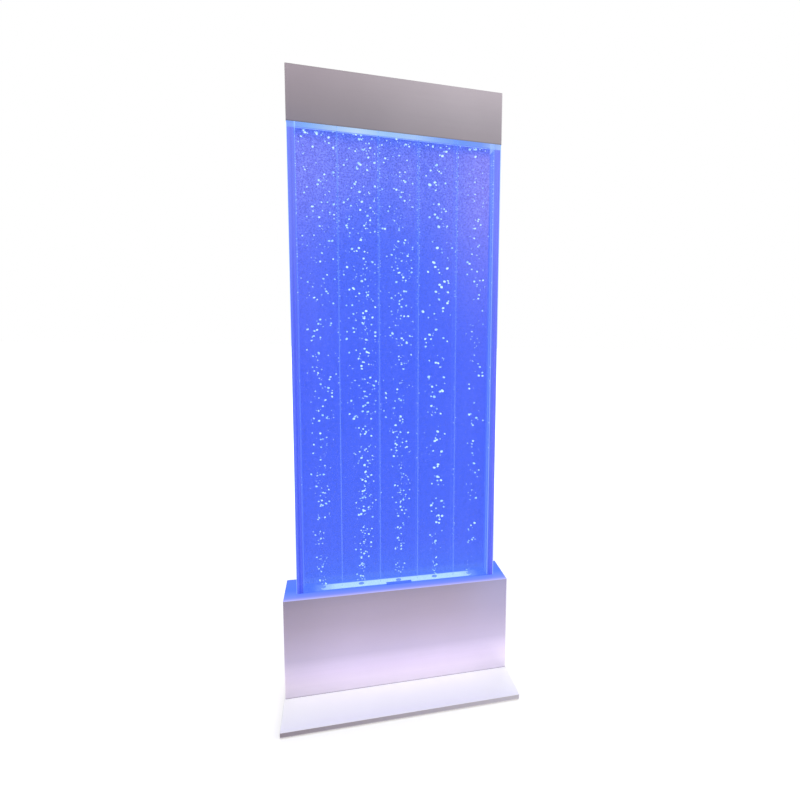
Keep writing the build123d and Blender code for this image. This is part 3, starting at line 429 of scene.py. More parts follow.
def plate_look(steel):
    """Near white beside the cabinet, a little bluer at the edges from painted blue light, grey on the
    folded rim in painted shade, with a painted highlight along the front fold.
    """
    x, y, z = steel.place()
    # Painted blue light: the top turns a little bluer towards its edges.
    outwards = [(0, seen(255, 254, 255)), (0.5, seen(253, 252, 255)), (1, seen(246, 244, 255))]
    top = steel.ramp(abs(y), 0.08, plate_edge, outwards)
    # Painted shade: the folded rim is grey, darker to the left.
    rim = steel.ramp(x, -0.34, 0.34, [(0, seen(158, 148, 157)), (1, seen(200, 194, 202))])
    rim = steel.mix(steel.between(z, plate_foot - 0.0005, plate_foot + 0.0035), seen(236, 234, 238), rim)
    # Painted light: a highlight along the front fold, and a faint glow of its own over the rest of the top.
    fold = abs(y).near(plate_edge - 0.0014, 0.0016)
    caught = steel.mix(fold, seen(66, 70, 88), seen(30, 32, 42))
    colour = steel.mix(steel.between(z, plate_top - 0.0025, plate_top - 0.0005), rim, top)
    return colour, caught, steel.between(z, plate_top - 0.002, plate_top - 0.001)


dress(brushed_steel("plate_steel", plate_look, 0.2, 0.5), "base_plate")

# %% [markdown]
# ## The lit rear sheet
#
# The back of the tank is frosted, so it catches the light of both strips and turns the whole
# tank blue. A real frosted sheet scatters light inside; tracing that would be slow and noisy, so
# the sheet glows by itself. Its glow is strongest in blue, turns violet towards the top and the
# right, and grows pale close to the two strips. Over the water lies a pale band, brightest where
# the cap's strip shines down between the dividers.

# %% The band over the water
BAND = [
    (0.0, seen(134, 168, 250)), (0.07, seen(139, 186, 254)), (0.17, seen(172, 206, 248)),
    (0.31, seen(201, 231, 255)), (0.45, seen(168, 210, 253)), (0.60, seen(179, 212, 254)),
    (0.70, seen(146, 186, 253)), (0.83, seen(120, 163, 251)), (0.93, seen(130, 166, 250)),
    (1.0, seen(168, 198, 250)),
]
band_on_sheet, band_on_bars = 1.6868, 1.668


def above_water(finish, x, z, level, below):
    """The pale band from a level up, and the colour below it."""
    return finish.mix(finish.between(z, level, level + 0.002), below, finish.ramp(x, -0.3, 0.3, BAND))


print("the band has", len(BAND), "colours")

# %% The glow
floor_top = reach("tank_floor", Z)[1]
water_level = reach("water", Z)[1]
glow = Finish("lit_frosted_acrylic")
x, y, z = glow.place()
upwards = [
    (0.0, seen(88, 130, 250)), (0.013, seen(88, 128, 250)), (0.016, seen(78, 116, 250)),
    (0.08, seen(74, 105, 250)), (0.25, seen(66, 98, 250)), (0.5, seen(64, 95, 250)),
    (0.7, seen(72, 102, 249)), (0.88, seen(90, 112, 248)), (0.95, seen(96, 116, 247)),
    (0.975, seen(88, 112, 244)), (1.0, seen(80, 112, 240)),
]
drift = glow.noise(5, (1, 1, 0.6), 3)
sides = glow.between(abs(x + 0.02), 0.1, 0.31) * glow.between(z, 0.7, 1.6, 0.03, 0.24)
right = glow.between(x, -0.02, 0.30) * glow.between(z, 1.05, 1.64) * 0.34
head = glow.between(z, 1.35, 1.6) * glow.between(drift, 0.35, 0.6, 0.05, 0.24)
under_band = glow.between(z, 1.65, 1.684, 1.0, 0.2)
blue = glow.ramp(z, floor_top, water_level + 0.03, upwards)
violet = glow.mix((sides + right + head) * under_band, blue, seen(160, 148, 250))
print("the glow starts", floor_top, "m up")

# %% [markdown]
# Fine mist inside the sheet gives the glow its grain, more of it towards the top. Only from
# behind, the frost shows soft shadows of the dividers, a cosine of x with the channels' pitch, and
# soft flecks of the streams, round Voronoi spots.

# %% Mist, shadows and flecks
divider_half = 0.0015
channel_pitch = (reach("tank_dividers", X)[1] - divider_half) * 2 / 3
wall_inside, wall_outside = reach("tank_rear_sheet", Y)
mist = glow.noise(240, detail=3)
misty = glow.between(mist, 0.5, 0.62) * glow.between(z, 1.3, 1.6)
misty = misty * glow.between(abs(x), 0.0, 0.28, 0.14, 0.22)
lit = glow.mix(misty * under_band, violet, seen(165, 190, 255))
lit = glow.mix(0.08, lit, glow.mix(drift, seen(40, 60, 230), seen(150, 160, 255)))
lit = glow.toned(lit, 1 + (mist - 0.5) * glow.between(z, 1.1, 1.6, 0.8, 1.5))

channel = x.wave(channel_pitch)
shadow = glow.between(channel, -1.0, -0.9, 0.16, 0.0)
flat = glow.node("ShaderNodeCombineXYZ", values=[x, z, 0.0])
spots = glow.node("ShaderNodeTexVoronoi", {"voronoi_dimensions": "2D"}, {"Vector": flat, "Scale": 85.0})
chosen = glow.apart(Wire(glow, spots.socket.node.outputs["Color"]))[0] > 0.45
flecks = glow.between(spots, 0.05, 0.38, 1.0, 0.0) * chosen * glow.between(channel, -0.3, 0.9) * 0.28
behind = glow.mix(flecks, glow.toned(lit, 1 - shadow), seen(150, 185, 255))
lit = glow.mix(y > wall_outside - 0.001, lit, behind)

frost = glow.noise(700)
frosted_acrylic = glow.shade(
    Base_Color=(0.01, 0.015, 0.06, 1),
    Roughness=0.42 + 0.2 * frost,
    Specular_IOR_Level=0.12,
    Emission_Color=above_water(glow, x, z, band_on_sheet, lit),
    Emission_Strength=0.9,
    Normal=glow.bump(frost, 0.0001, 0.4),
)
dress(frosted_acrylic, "tank_rear_sheet")

# %% [markdown]
# ## Clear acrylic and water
#
# Clear sheets are nearly invisible face on, and bright along their edges, because a sheet carries
# light inside it and lets it out at its rim. True refraction would bend the streams out of place
# and needs many samples, so the sheets are thin veils: a low alpha on the faces, and more of it,
# with a pale glow, at an edge.

# %% Clear sheets and dividers
side_inside, side_outside = reach("tank_right_bar", X)
tank_top = reach("tank_front_sheet", Z)[1]


def clear_acrylic(name, edge_of, face_alpha, edge_alpha):
    """A veil with lit edges. edge_of gets x, y and z and returns 1 at an edge and 0 on a face.
    The light in a sheet fades from the foot to the head, from pale to a deeper blue."""
    clear = Finish(name)
    x, y, z = clear.place()
    edge = edge_of(x, y, z)
    lit_edge = clear.mix(clear.between(z, 0.9, 1.6), seen(150, 195, 255), seen(70, 165, 248))
    smear = clear.noise(9, (1, 1, 0.5))
    return clear.shade(
        Base_Color=(0.16, 0.30, 0.95, 1),
        Roughness=0.05 + 0.06 * smear,
        IOR=1.49,
        Specular_IOR_Level=0.4,
        Alpha=face_alpha + edge * (edge_alpha - face_alpha),
        Emission_Color=clear.mix(edge, seen(60, 92, 240), lit_edge),
        Emission_Strength=0.75,
    )


def sheet_edges(x, y, z):
    """The saw-cut sides and top of the front sheet."""
    return abs(x).near(side_outside, 0.0012).largest(z.near(tank_top, 0.002))


def divider_edges(x, y, z):
    """The glued front and rear edges of the dividers."""
    return abs(y) > wall_inside - 0.0012


def top_bar_edges(x, y, z):
    """The glued long edges of the top bar."""
    return abs(y).near(wall_inside, 0.0015)


dress(clear_acrylic("front_sheet_acrylic", sheet_edges, 0.025, 0.65), "tank_front_sheet")
dress(clear_acrylic("divider_acrylic", divider_edges, 0.05, 0.18), "tank_dividers")
dress(clear_acrylic("top_bar_acrylic", top_bar_edges, 0.3, 0.6), "tank_top_bar")

# %% [markdown]
# The side bars are 19 mm thick. Light that enters them at the foot bounces up inside and shows as
# upright lines, pale at the glued corners and violet at the outer face, so hardly anything behind
# a bar is seen through it. A ramp across the bar gives the lines, a second one its inner face.

# %% The lines in the side bars
# Across a bar, from its outer face to the channel.
left_lines = [
    (0.0, seen(112, 122, 234)), (0.14, seen(88, 106, 246)), (0.28, seen(98, 118, 250)),
    (0.44, seen(70, 92, 242)), (0.6, seen(68, 88, 245)), (0.74, seen(84, 104, 250)),
    (0.86, seen(72, 96, 242)), (0.94, seen(86, 112, 246)), (1.0, seen(72, 98, 240)),
]
right_lines = [
    (0.0, seen(128, 128, 238)), (0.08, seen(132, 132, 236)), (0.14, seen(88, 94, 246)),
    (0.3, seen(100, 110, 250)), (0.5, seen(84, 98, 248)), (0.7, seen(88, 108, 246)),
    (0.85, seen(80, 108, 242)), (1.0, seen(112, 142, 244)),
]
# Along its inner face, from the front to the back.
left_inner = [(0.0, seen(84, 108, 242)), (0.6, seen(74, 98, 238)), (1.0, seen(88, 112, 246))]
right_inner = [
    (0.0, seen(158, 188, 254)), (0.08, seen(134, 166, 252)), (0.2, seen(92, 126, 240)),
    (0.36, seen(92, 130, 246)), (0.52, seen(106, 146, 252)), (0.7, seen(84, 118, 248)),
    (0.85, seen(70, 100, 240)), (1.0, seen(84, 116, 246)),
]
print("a bar is", round(side_outside - side_inside, 4), "m wide")

# %% Side bars
bars = Finish("side_bar_acrylic")
x, y, z = bars.place()
outward = abs(x)
left, right = [bars.ramp(outward, side_outside, side_inside, lines) for lines in (left_lines, right_lines)]
across = bars.mix(bars.between(z, 0.9, 1.65) * 0.5, bars.mix(x > 0, left, right), seen(142, 152, 250))
left, right = [bars.ramp(y, -wall_inside, wall_inside, stops) for stops in (left_inner, right_inner)]
inner = bars.mix(bars.between(z, 1.4, 1.62) * 0.6, bars.mix(x > 0, left, right), seen(108, 138, 245))
face = bars.mix(outward < side_inside + 0.0003, across, inner)
streaks = bars.noise(1.0, (500, 500, 3))
bar_acrylic = bars.shade(
    Base_Color=(0.008, 0.015, 0.08, 1),
    Roughness=0.06 + 0.06 * streaks,
    IOR=1.49,
    Specular_IOR_Level=0.25,
    Alpha=0.93,
    Emission_Color=bars.toned(above_water(bars, x, z, band_on_bars, face), 0.8 + 0.4 * streaks),
    Emission_Strength=0.9,
)
dress(bar_acrylic, "tank_left_bar", "tank_right_bar")

# %% [markdown]
# The water adds little to the glow behind it: a faint blue veil with a slow ripple in its tone, slightly
# denser towards the top. Its blue glow of its own is painted light, for the light the water scatters.

# %% Water
water = Finish("lit_water")
x, y, z = water.place()
ripple = water.noise(14, (1, 1, 0.4))
lit_water = water.shade(
    Base_Color=(0.06, 0.16, 0.8, 1),
    Roughness=0.05,
    IOR=1.33,
    Specular_IOR_Level=0.3,
    Alpha=water.between(z, floor_top, water_level, 0.02, 0.035),
    Emission_Color=water.mix(ripple, seen(50, 80, 240), seen(85, 118, 250)),
    Emission_Strength=0.6,
)
dress(lit_water, "water")

# %% [markdown]
# ## Opal bars, light strips and trays
#
# Light leaves the cabinet through an opal bar that is let into the tank's floor. It is the
# brightest thing on the lamp, and a little brighter over each chip of the strip below, so a
# cosine of x with the chips' pitch runs along it.

# %% Opal bars
chip_pitch = 0.024
lit_middle = 0.006


def opal(name, colour, bright, strength, half_length, end_colour):
    """Milky acrylic in front of a row of chips that stops short of the bar's ends."""
    milky = Finish(name)
    x, y, z = milky.place()
    even = milky.noise(60)
    lit = milky.mix(0.45 + 0.08 * x.wave(chip_pitch) + 0.3 * even, colour, bright)
    fade = milky.between(abs(x - lit_middle), half_length - 0.055, half_length) * 0.75
    return milky.shade(
        Base_Color=(0.30, 0.40, 0.55, 1),
        Roughness=0.3 + 0.1 * even,
        Specular_IOR_Level=0.2,
        Emission_Color=milky.mix(fade, lit, end_colour),
        Emission_Strength=strength,
    )


slot_look = (seen(160, 203, 248), seen(186, 224, 255), 0.84, 0.24, seen(112, 152, 250))
dress(opal("opal_slot_bar", *slot_look), "slot_diffuser")
lens_look = (seen(170, 200, 255), seen(215, 235, 255), 1.0, 0.3, seen(150, 180, 255))
dress(opal("opal_cap_lens", *lens_look), "cap_led_lens")

# %% [markdown]
# The tank's floor is white acrylic under blue light, and that light is painted: a dark blue colour and a
# glow of its own. It is palest close round the opal bar, but not on the tongue that reaches into the bar's
# front edge, which stays a darker blue.

# %% The tank's floor
slot_front, slot_rear = reach("slot_diffuser", Y)
slot_middle, slot_half = (slot_front + slot_rear) / 2, (slot_rear - slot_front) / 2
tongue_half, tongue_depth = 0.039, 0.012
white_floor = Finish("white_floor_acrylic")
x, y, z = white_floor.place()
beside = white_floor.between(abs(y - slot_middle), slot_half - 0.0002, slot_half + 0.007, 1, 0)
close = beside * white_floor.between(abs(x), 0.24, 0.262, 1, 0)
tongue = (abs(x) < tongue_half + 0.0002) * (y < slot_front + tongue_depth + 0.0002)
fine = white_floor.noise(120, detail=3)
pale = close * (1 - tongue) * 0.6 + fine * 0.1
soft = white_floor.mix(pale, seen(76, 115, 248), seen(120, 158, 250))
lit_floor = white_floor.shade(
    Base_Color=(0.05, 0.09, 0.35, 1),
    Roughness=0.3 + 0.15 * fine,
    Specular_IOR_Level=0.2,
    Emission_Color=white_floor.mix(tongue * 0.6, soft, seen(72, 108, 225)),
    Emission_Strength=0.85,
)
dress(lit_floor, "tank_floor")

# %% [markdown]
# A light strip is a white board with yellowish chips that shine blue. The chips are solids of the
# board's own node, so a cosine of x tells them apart.

# %% Light strips
boards = Finish("light_strip_board")
x, y, z = boards.place()
chip = boards.between(x.wave(chip_pitch), 0.75, 0.85)
lacquer = boards.noise(300)
painted = boards.mix(lacquer, seen(225, 230, 238), seen(245, 247, 250))
strip = boards.shade(
    Base_Color=boards.mix(chip, painted, seen(240, 225, 150)),
    Roughness=0.4 + 0.1 * lacquer,
    Emission_Color=boards.mix(chip, seen(70, 100, 220), seen(190, 215, 255)),
    Emission_Strength=1.0,
)
dress(strip, "base_led_strips", "cap_led_strip")

# %% [markdown]
# ## The working parts
#
# Behind the rear door sit the pump, the manifold, the power supply and the leads. Most of them
# are moulded, cast or painted, and such a surface is one colour with fine grain in tone, gloss
# and relief. One function makes them all; what differs is handed to it.

# %% Moulded, cast and painted surfaces


def plain(name, colour, rough, grain=90, relief=0.00005, contrast=0.12, coat=0.0, alpha=1.0, mark_of=None):
    """mark_of, where there is one, gets x, y and z and returns 1 where it is printed white."""
    made = Finish(name)
    fine = made.noise(grain, detail=4)
    broad = made.noise(grain / 12)
    own = made.toned(colour, 1 - contrast + contrast * (fine + broad))
    return made.shade(
        Base_Color=made.mix(mark_of(*made.place()), own, seen(232, 234, 236)) if mark_of else own,
        Roughness=rough - 0.06 + 0.12 * fine,
        Coat_Weight=coat,
        Alpha=alpha,
        Normal=made.bump(fine, relief, 0.6),
    )


black, rubber, white = seen(38, 38, 41), seen(34, 34, 36), seen(226, 228, 230)
dress(plain("white_tray_paint", seen(232, 235, 240), 0.35, coat=0.3), "light_trough")
dress(plain("black_powder_coat", black, 0.5, grain=600, relief=0.0002), "support_frames")
black_rubber = plain("black_rubber", rubber, 0.8, grain=400, relief=0.0001)
dress(black_rubber, "foot_pads", "tank_seat_pad", "pump_feet")
dress(plain("white_nylon", white, 0.4, grain=300), "nozzle_nuts", "fill_plug")
dress(plain("grey_controller_shell", seen(205, 208, 212), 0.5, grain=700, relief=0.0001), "led_controller")
dress(plain("pump_shell", seen(112, 116, 122), 0.6, grain=800, relief=0.00015), "pump_cover", "check_valve")
black_moulding = plain("black_moulding", black, 0.55, grain=800, relief=0.00012)
dress(black_moulding, "pump_base", "mains_inlet", "rocker_frame", "power_supply")
dress(plain("manifold_black", seen(52, 55, 60), 0.4, grain=500), "air_manifold")
dress(plain("blue_lever_enamel", seen(52, 96, 190), 0.3, grain=200, coat=0.5), "drain_lever")
dress(plain("lead_sleeve", seen(46, 46, 49), 0.5, grain=900), "power_leads", "led_leads")
clear_tube = plain("clear_silicone", seen(205, 222, 232), 0.25, grain=150, contrast=0.06, alpha=0.55)
dress(clear_tube, "air_tubes", "pump_hose", "nozzle_seals")

# %% [markdown]
# The rocker carries the usual bar and ring for on and off, and every flow knob a line along its
# lever. Flat prints need no geometry: a formula of x and z says where the print is, a limit on y
# keeps it to the face, and a cosine of x with the knobs' pitch finds the middle of each knob.

# %% Printed marks
rocker_middle = sum(reach("rocker_key", X)) / 2
bar_z, ring_z = 0.1705, 0.1583
knob_middle = sum(reach("flow_knob_1", X)) / 2
knob_pitch = sum(reach("flow_knob_2", X)) / 2 - knob_middle
pointer_half = 0.0007


def on_off_marks(x, y, z):
    """A bar for on above the rocker's middle, and a ring for off below it."""
    aside, below = x - rocker_middle, z - ring_z
    bar = (abs(aside) < 0.0006) * z.near(bar_z, 0.0026)
    ring = ((aside * aside + below * below) ** 0.5).near(0.0023, 0.0005)
    return bar.largest(ring) * (y > 0.0745)


def pointers(x, y, z):
    """A line along the lever of every flow knob."""
    line = (x - knob_middle).wave(knob_pitch) > math.cos(2 * math.pi * pointer_half / knob_pitch)
    return line * z.near(0.1365, 0.0045) * (y > 0.018)


rocker_gloss = plain("rocker_gloss", seen(30, 30, 33), 0.25, grain=300, coat=0.3, mark_of=on_off_marks)
dress(rocker_gloss, "rocker_key", "mode_button")
blue_knob = plain("blue_knob", seen(60, 110, 205), 0.35, grain=300, coat=0.2, mark_of=pointers)
dress(blue_knob, *[f"flow_knob_{number}" for number in range(1, 6)])

# %% [markdown]
# Galvanised sheet shows its zinc crystals, flat patches that each catch the light a little
# differently. Voronoi cells are such patches: each cell's own random value sets its tone and
# its roughness.

# %% Zinc sheet


def zinc_sheet(name, colour):
    zinc = Finish(name)
    spot = zinc.node("ShaderNodeTexCoord", output="Object")
    cells = zinc.node("ShaderNodeTexVoronoi", values={"Vector": spot, "Scale": 110.0}, output=1)
    crystal = zinc.apart(cells)[0]
    dust = zinc.noise(40, detail=4)
    return zinc.shade(
        Base_Color=zinc.toned(colour, 0.86 + 0.10 * crystal + 0.08 * dust),
        Metallic=0.9,
        Roughness=0.30 + 0.16 * crystal + 0.06 * dust,
        Normal=zinc.bump(crystal, 0.00003, 0.3),
    )


zinc_nodes = ["rear_frame", "service_door", "hinge_frame_leaves", "hinge_door_leaves"]
zinc_nodes += ["manifold_bracket", "cap_brackets", "latch_cam"]
dress(zinc_sheet("zinc_sheet", seen(186, 188, 192)), *zinc_nodes)

# %% [markdown]
# Screws, pins and the latch are turned and plated: very fine lines, and a little wear. The
# profile that holds the cap's strip is drawn instead, so its lines run along it. The board in the
# base shows its pressed layers and fibres at the edges.

# %% Turned metal and board


def turned_metal(name, colour, rough=0.22, stretch=(1, 1, 1)):
    metal = Finish(name)
    lines = metal.noise(2500, stretch, 1)
    wear = metal.noise(120, detail=3)
    return metal.shade(
        Base_Color=metal.toned(colour, 0.9 + 0.12 * wear),
        Metallic=1.0,
        Roughness=rough - 0.05 + 0.1 * lines + 0.08 * wear,
        Normal=metal.bump(lines, 0.00002, 0.4),
    )


zinc_plated = turned_metal("zinc_plated_screw", seen(216, 217, 220))
dress(zinc_plated, "base_screws", "cabinet_fasteners", "tank_screws", "hinge_pins")
dress(turned_metal("latch_chrome", seen(225, 226, 230), 0.14), "latch_bush", "latch_knob")
dress(turned_metal("extruded_aluminium", seen(205, 207, 210), 0.35, (0.01, 1, 1)), "cap_led_channel")

board = Finish("core_board")
layers = board.noise(1.0, (14, 14, 900), 3)
fibres = board.noise(1.0, (30, 500, 500), 3)
core = board.shade(
    Base_Color=board.mix(0.6 * layers + 0.4 * fibres, seen(150, 112, 76), seen(214, 178, 132)),
    Roughness=0.75 + 0.1 * fibres,
    Normal=board.bump(fibres, 0.0002, 0.5),
)
dress(core, "base_core")

# %% [markdown]
# Two small parts pass through the tank's floor: the nozzles, whose tips stand in the lit water, and the
# brass drain. Below the tank they show their own colour; in it the water's blue light is painted on them,
# as a dark blue colour and a glow of its own.

# %% Parts that stand in the lit water
tank_foot = reach("tank_floor", Z)[0]


def half_lit(name, own, metal, rough, level, lit):
    """A part with its own colour below a level, and painted blue light above it: a dark blue colour and a
    glow of its own.
    """
    part = Finish(name)
    x, y, z = part.place()
    fine = part.noise(300, detail=3)
    # Painted light: above this level the part turns dark blue and glows with the water's blue.
    wet = part.between(z, level - 0.001, level)
    return part.shade(
        Base_Color=part.toned(part.mix(wet, own, (0.04, 0.08, 0.30, 1)), 0.9 + 0.2 * fine),
        Metallic=metal - metal * wet,
        Roughness=rough + 0.1 * fine,
        Specular_IOR_Level=0.3,
        Emission_Color=part.mix(wet, DARK, lit),
        Emission_Strength=0.85,
    )


nylon = half_lit("nozzle_nylon", white, 0.0, 0.4, floor_top - 0.0005, seen(112, 150, 235))
dress(nylon, "air_nozzles")
brass = half_lit("valve_brass", seen(214, 180, 110), 1.0, 0.25, tank_foot + 0.0005, seen(78, 114, 246))
dress(brass, "drain_valve")
print("finishes so far:", len(bpy.data.materials))

# %% [markdown]
# ## Geometry Nodes that grow things on a path
#
# Bubbles, droplets and the water's edge all follow a path. Each is a Geometry Nodes tree with
# named inputs, run once on a small mesh that holds the path, and turned into a plain mesh. A
# helper class names the inputs, sets them by their identifiers, and reads the result.

# %% A helper for trees with named inputs


class Grower(Graph):
    """A Geometry Nodes tree with named inputs."""

    def __init__(self, name, **inputs):
        super().__init__(bpy.data.node_groups.new(name, "GeometryNodeTree"))
        sockets = self.tree.interface
        sockets.new_socket("Geometry", in_out="OUTPUT", socket_type="NodeSocketGeometry")
        self.keys = {}
        for label, kind in {"Path": "Geometry", **inputs}.items():
            made = sockets.new_socket(label, in_out="INPUT", socket_type=f"NodeSocket{kind}")
            self.keys[label] = made.identifier
        self.entry = self.tree.nodes.new("NodeGroupInput")

    def given(self, label):
        return Wire(self, self.entry.outputs[label])

    def chance(self, low, high, salt):
        """A random number for each point, the same on every run."""
        values = {2: low, 3: high, 8: self.given("seed") + salt}
        return self.node("FunctionNodeRandomValue", {"data_type": "FLOAT"}, values, output=1)

    def size(self, salt, power):
        """A random size between the two that are given, more often small than large."""
        smallest, largest = self.given("smallest"), self.given("largest")
        return smallest + (largest - smallest) * self.chance(0, 1, salt) ** power

    def line(self):
        """The path as a curve."""
        return self.node("GeometryNodeMeshToCurve", values=[self.given("Path")])

    def dotted(self, line):
        """Points at even distances along a curve, and their x, y and z."""
        values = {"Curve": line, "Count": self.given("count")}
        points = self.node("GeometryNodeCurveToPoints", {"mode": "COUNT"}, values)
        return points, *self.spot()

    def spot(self):
        """The x, y and z of a point."""
        return self.apart(self.node("GeometryNodeInputPosition"))

    def thinned(self, points, dropped):
        """Points without those that are dropped."""
        values = {"Geometry": points, "Selection": dropped}
        return self.node("GeometryNodeDeleteGeometry", {"domain": "POINT"}, values)

    def close(self, geometry, material):
        """End the tree: real geometry, smooth, with its material."""
        solid = self.node("GeometryNodeRealizeInstances", values=[geometry])
        smooth = self.node("GeometryNodeSetShadeSmooth", values={"Geometry": solid})
        coated = self.node("GeometryNodeSetMaterial", values={"Geometry": smooth, "Material": material})
        self.node("NodeGroupOutput", values=[coated])

    def grow(self, path, **values):
        """Run the tree on a path mesh and return the mesh that it makes."""
        holder = bpy.data.objects.new("path_holder", path)
        scene.collection.objects.link(holder)
        modifier = holder.modifiers.new("grow", "NODES")
        modifier.node_group = self.tree
        for label, value in values.items():
            modifier[self.keys[label]] = value
        evaluated = holder.evaluated_get(bpy.context.evaluated_depsgraph_get())
        made = bpy.data.meshes.new_from_object(evaluated)
        holder.modifiers.remove(modifier)
        bpy.data.objects.remove(holder)
        return made


# %% Path meshes, and one piece from several meshes


def path_mesh(name, lines):
    """A mesh of open lines, each a list of points."""
    points, edges = [], []
    for line in lines:
        edges += [(len(points) + i, len(points) + i + 1) for i in range(len(line) - 1)]
        points += line
    mesh = bpy.data.meshes.new(name)
    mesh.from_pydata(points, edges, [])
    return mesh


def joined(name, meshes, material, body):
    """One piece from several meshes, riding on a body."""
    whole = bmesh.new()
    for mesh in meshes:
        whole.from_mesh(mesh)
    bmesh.ops.recalc_face_normals(whole, faces=whole.faces)
    result = bpy.data.meshes.new(name)
    whole.to_mesh(result)
    whole.free()
    result.materials.append(material)
    result.polygons.foreach_set("material_index", [0] * len(result.polygons))
    result.polygons.foreach_set("use_smooth", [True] * len(result.polygons))
    piece = bpy.data.objects.new(name, result)
    scene.collection.objects.link(piece)
    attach(piece, body)
    print(name, "has", len(result.polygons), "faces")


# %% [markdown]
# ## The bubbles
#
# Each nozzle sends up a stream. It leaves as a thin thread, wanders, and spreads as it rises,
# and its bubbles come in bursts with gaps between. A bubble is a spot of reflected light, so its
# finish glows, with a shadier side above.

# %% Bubble finish
air = Finish("air_bubble")
facing = air.apart(air.node("ShaderNodeNewGeometry", output=1))[Z]
dimness = air.between(air.noise(40, detail=1), 0.42, 0.62)
lit_side = air.mix(air.between(facing, -0.2, 0.9) * 0.6, seen(222, 255, 255), seen(150, 208, 255))
bubble_finish = air.shade(
    Base_Color=(0.03, 0.08, 0.20, 1),
    Roughness=0.10 + 0.1 * dimness,
    IOR=1.33,
    Specular_IOR_Level=0.3,
    Emission_Color=air.mix(dimness * 0.6, lit_side, seen(130, 185, 255)),
    Emission_Strength=1.0,
)
print(bubble_finish.name, "is ready")

# %% [markdown]
# In the tree, points along the stream's middle line are pushed aside by an amount that grows with
# height, and stay inside the channel and below the surface. A slow noise along the height then
# drops some of them to leave the gaps between bursts.

# %% The stream's points
tip_z = reach("air_nozzles", Z)[1]
climb = 1.33
measures = ("foot_spread", "head_spread", "smallest", "largest", "middle", "reach", "gaps")
stream = Grower("bubble_stream", count="Int", **dict.fromkeys(measures, "Float"), seed="Int")
line = stream.node("GeometryNodeCurveSplineType", {"spline_type": "CATMULL_ROM"}, {"Curve": stream.line()})
points, x, y, z = stream.dotted(line)
rise = ((z - tip_z) * (1 / climb)).largest(0.0)
foot_spread, head_spread = stream.given("foot_spread"), stream.given("head_spread")
spread = foot_spread + (head_spread - foot_spread) * rise**0.6
middle, side = stream.given("middle"), stream.given("reach")
aside = x + (stream.chance(-1.2, 1.2, 0) + stream.chance(-1.2, 1.2, 1)) * spread
aside = aside.smallest(middle + side).largest(middle - side)
depth = y * (1 - 0.7 * rise) + stream.chance(-0.014, 0.014, 2) * (0.25 + 0.75 * rise)
height = (z + stream.chance(-0.008, 0.008, 3)).smallest(water_level + 0.002)
place = stream.node("ShaderNodeCombineXYZ", values=[aside, depth, height])
moved = stream.node("GeometryNodeSetPosition", values={"Geometry": points, "Position": place})
along = {"W": z * 26 + stream.given("seed") * 7.3, "Scale": 1.0, "Detail": 1.0}
bursts = stream.node("ShaderNodeTexNoise", {"noise_dimensions": "1D"}, along)
kept = stream.thinned(moved, bursts + stream.chance(-0.12, 0.12, 4) < stream.given("gaps"))
print("bubbles start", tip_z, "m up")

# %% [markdown]
# Each point that is left carries a ball, a little wider than tall and tilted at random, and small
# near the nozzle. Noise then pushes its surface in and out by a fraction of a millimetre, because
# a rising bubble wobbles.

# %% The bubbles on the points
size = stream.size(5, 1.8) * stream.between(z, tip_z, 0.6, 0.75, 1.0)
wide, low = size * stream.chance(1.0, 1.3, 6), size * stream.chance(0.75, 1.0, 7)
shape = stream.node("ShaderNodeCombineXYZ", values=[wide, size, low])
most = 0.8
tilts = {0: (-most, -most, -most), 1: (most, most, most)}
tilt = stream.node("FunctionNodeRandomValue", {"data_type": "FLOAT_VECTOR"}, tilts)
ball = stream.node("GeometryNodeMeshIcoSphere", values={"Radius": 1.0, "Subdivisions": 2})
balls = {"Points": kept, "Instance": ball, "Rotation": tilt, "Scale": shape}
balls = stream.node("GeometryNodeInstanceOnPoints", values=balls)
balls = stream.node("GeometryNodeRealizeInstances", values=[balls])
dents = stream.node("ShaderNodeTexNoise", values={"Scale": 260.0, "Detail": 1.0}) - 0.5
normal = stream.node("GeometryNodeInputNormal")
push = stream.node("ShaderNodeVectorMath", {"operation": "SCALE"}, {0: normal, "Scale": dents * 0.0010})
balls = stream.node("GeometryNodeSetPosition", values={"Geometry": balls, "Offset": push})
stream.close(balls, bubble_finish)
print("the stream's tree has", len(stream.tree.nodes), "nodes")

# %% [markdown]
# The five streams differ in how dense they are, how big their bubbles are, and how they wander.
# The wander is a few sideways steps in millimetres at even heights, which a smooth spline joins.
# A few bubbles of each stream float at the surface: the same tree, on a short level path.

# %% Five streams
stream_facts = [
    # count, foot and head spread, smallest and largest radius (mm), gaps, sideways steps (mm)
    (400, 4, 30, 0.9, 3.2, 0.42, (0, -2, 0, 4, 6, 12, 8, 0, 14, 10, -8)),
    (540, 8, 29, 1.0, 3.6, 0.40, (0, 8, 15, 14, 8, 12, 14, 12, 9, 11, 14)),
    (470, 5, 28, 0.9, 3.3, 0.42, (0, 4, 9, 6, -4, 5, 12, 14, 4, -2, 6)),
    (320, 4, 24, 1.2, 4.5, 0.47, (0, 3, 9, 6, 1, 4, 1, 12, 13, 7, 2)),
    (205, 5, 18, 1.1, 3.7, 0.48, (0, 7, 5, 3, 14, 12, 6, 10, 14, 9, -4)),
]
foot_z, head_z = tip_z + 0.003, water_level - 0.006
nozzle_xs = [(number - 2) * channel_pitch for number in range(5)]
stream_half, faces_each = 0.047, 80
meshes = []
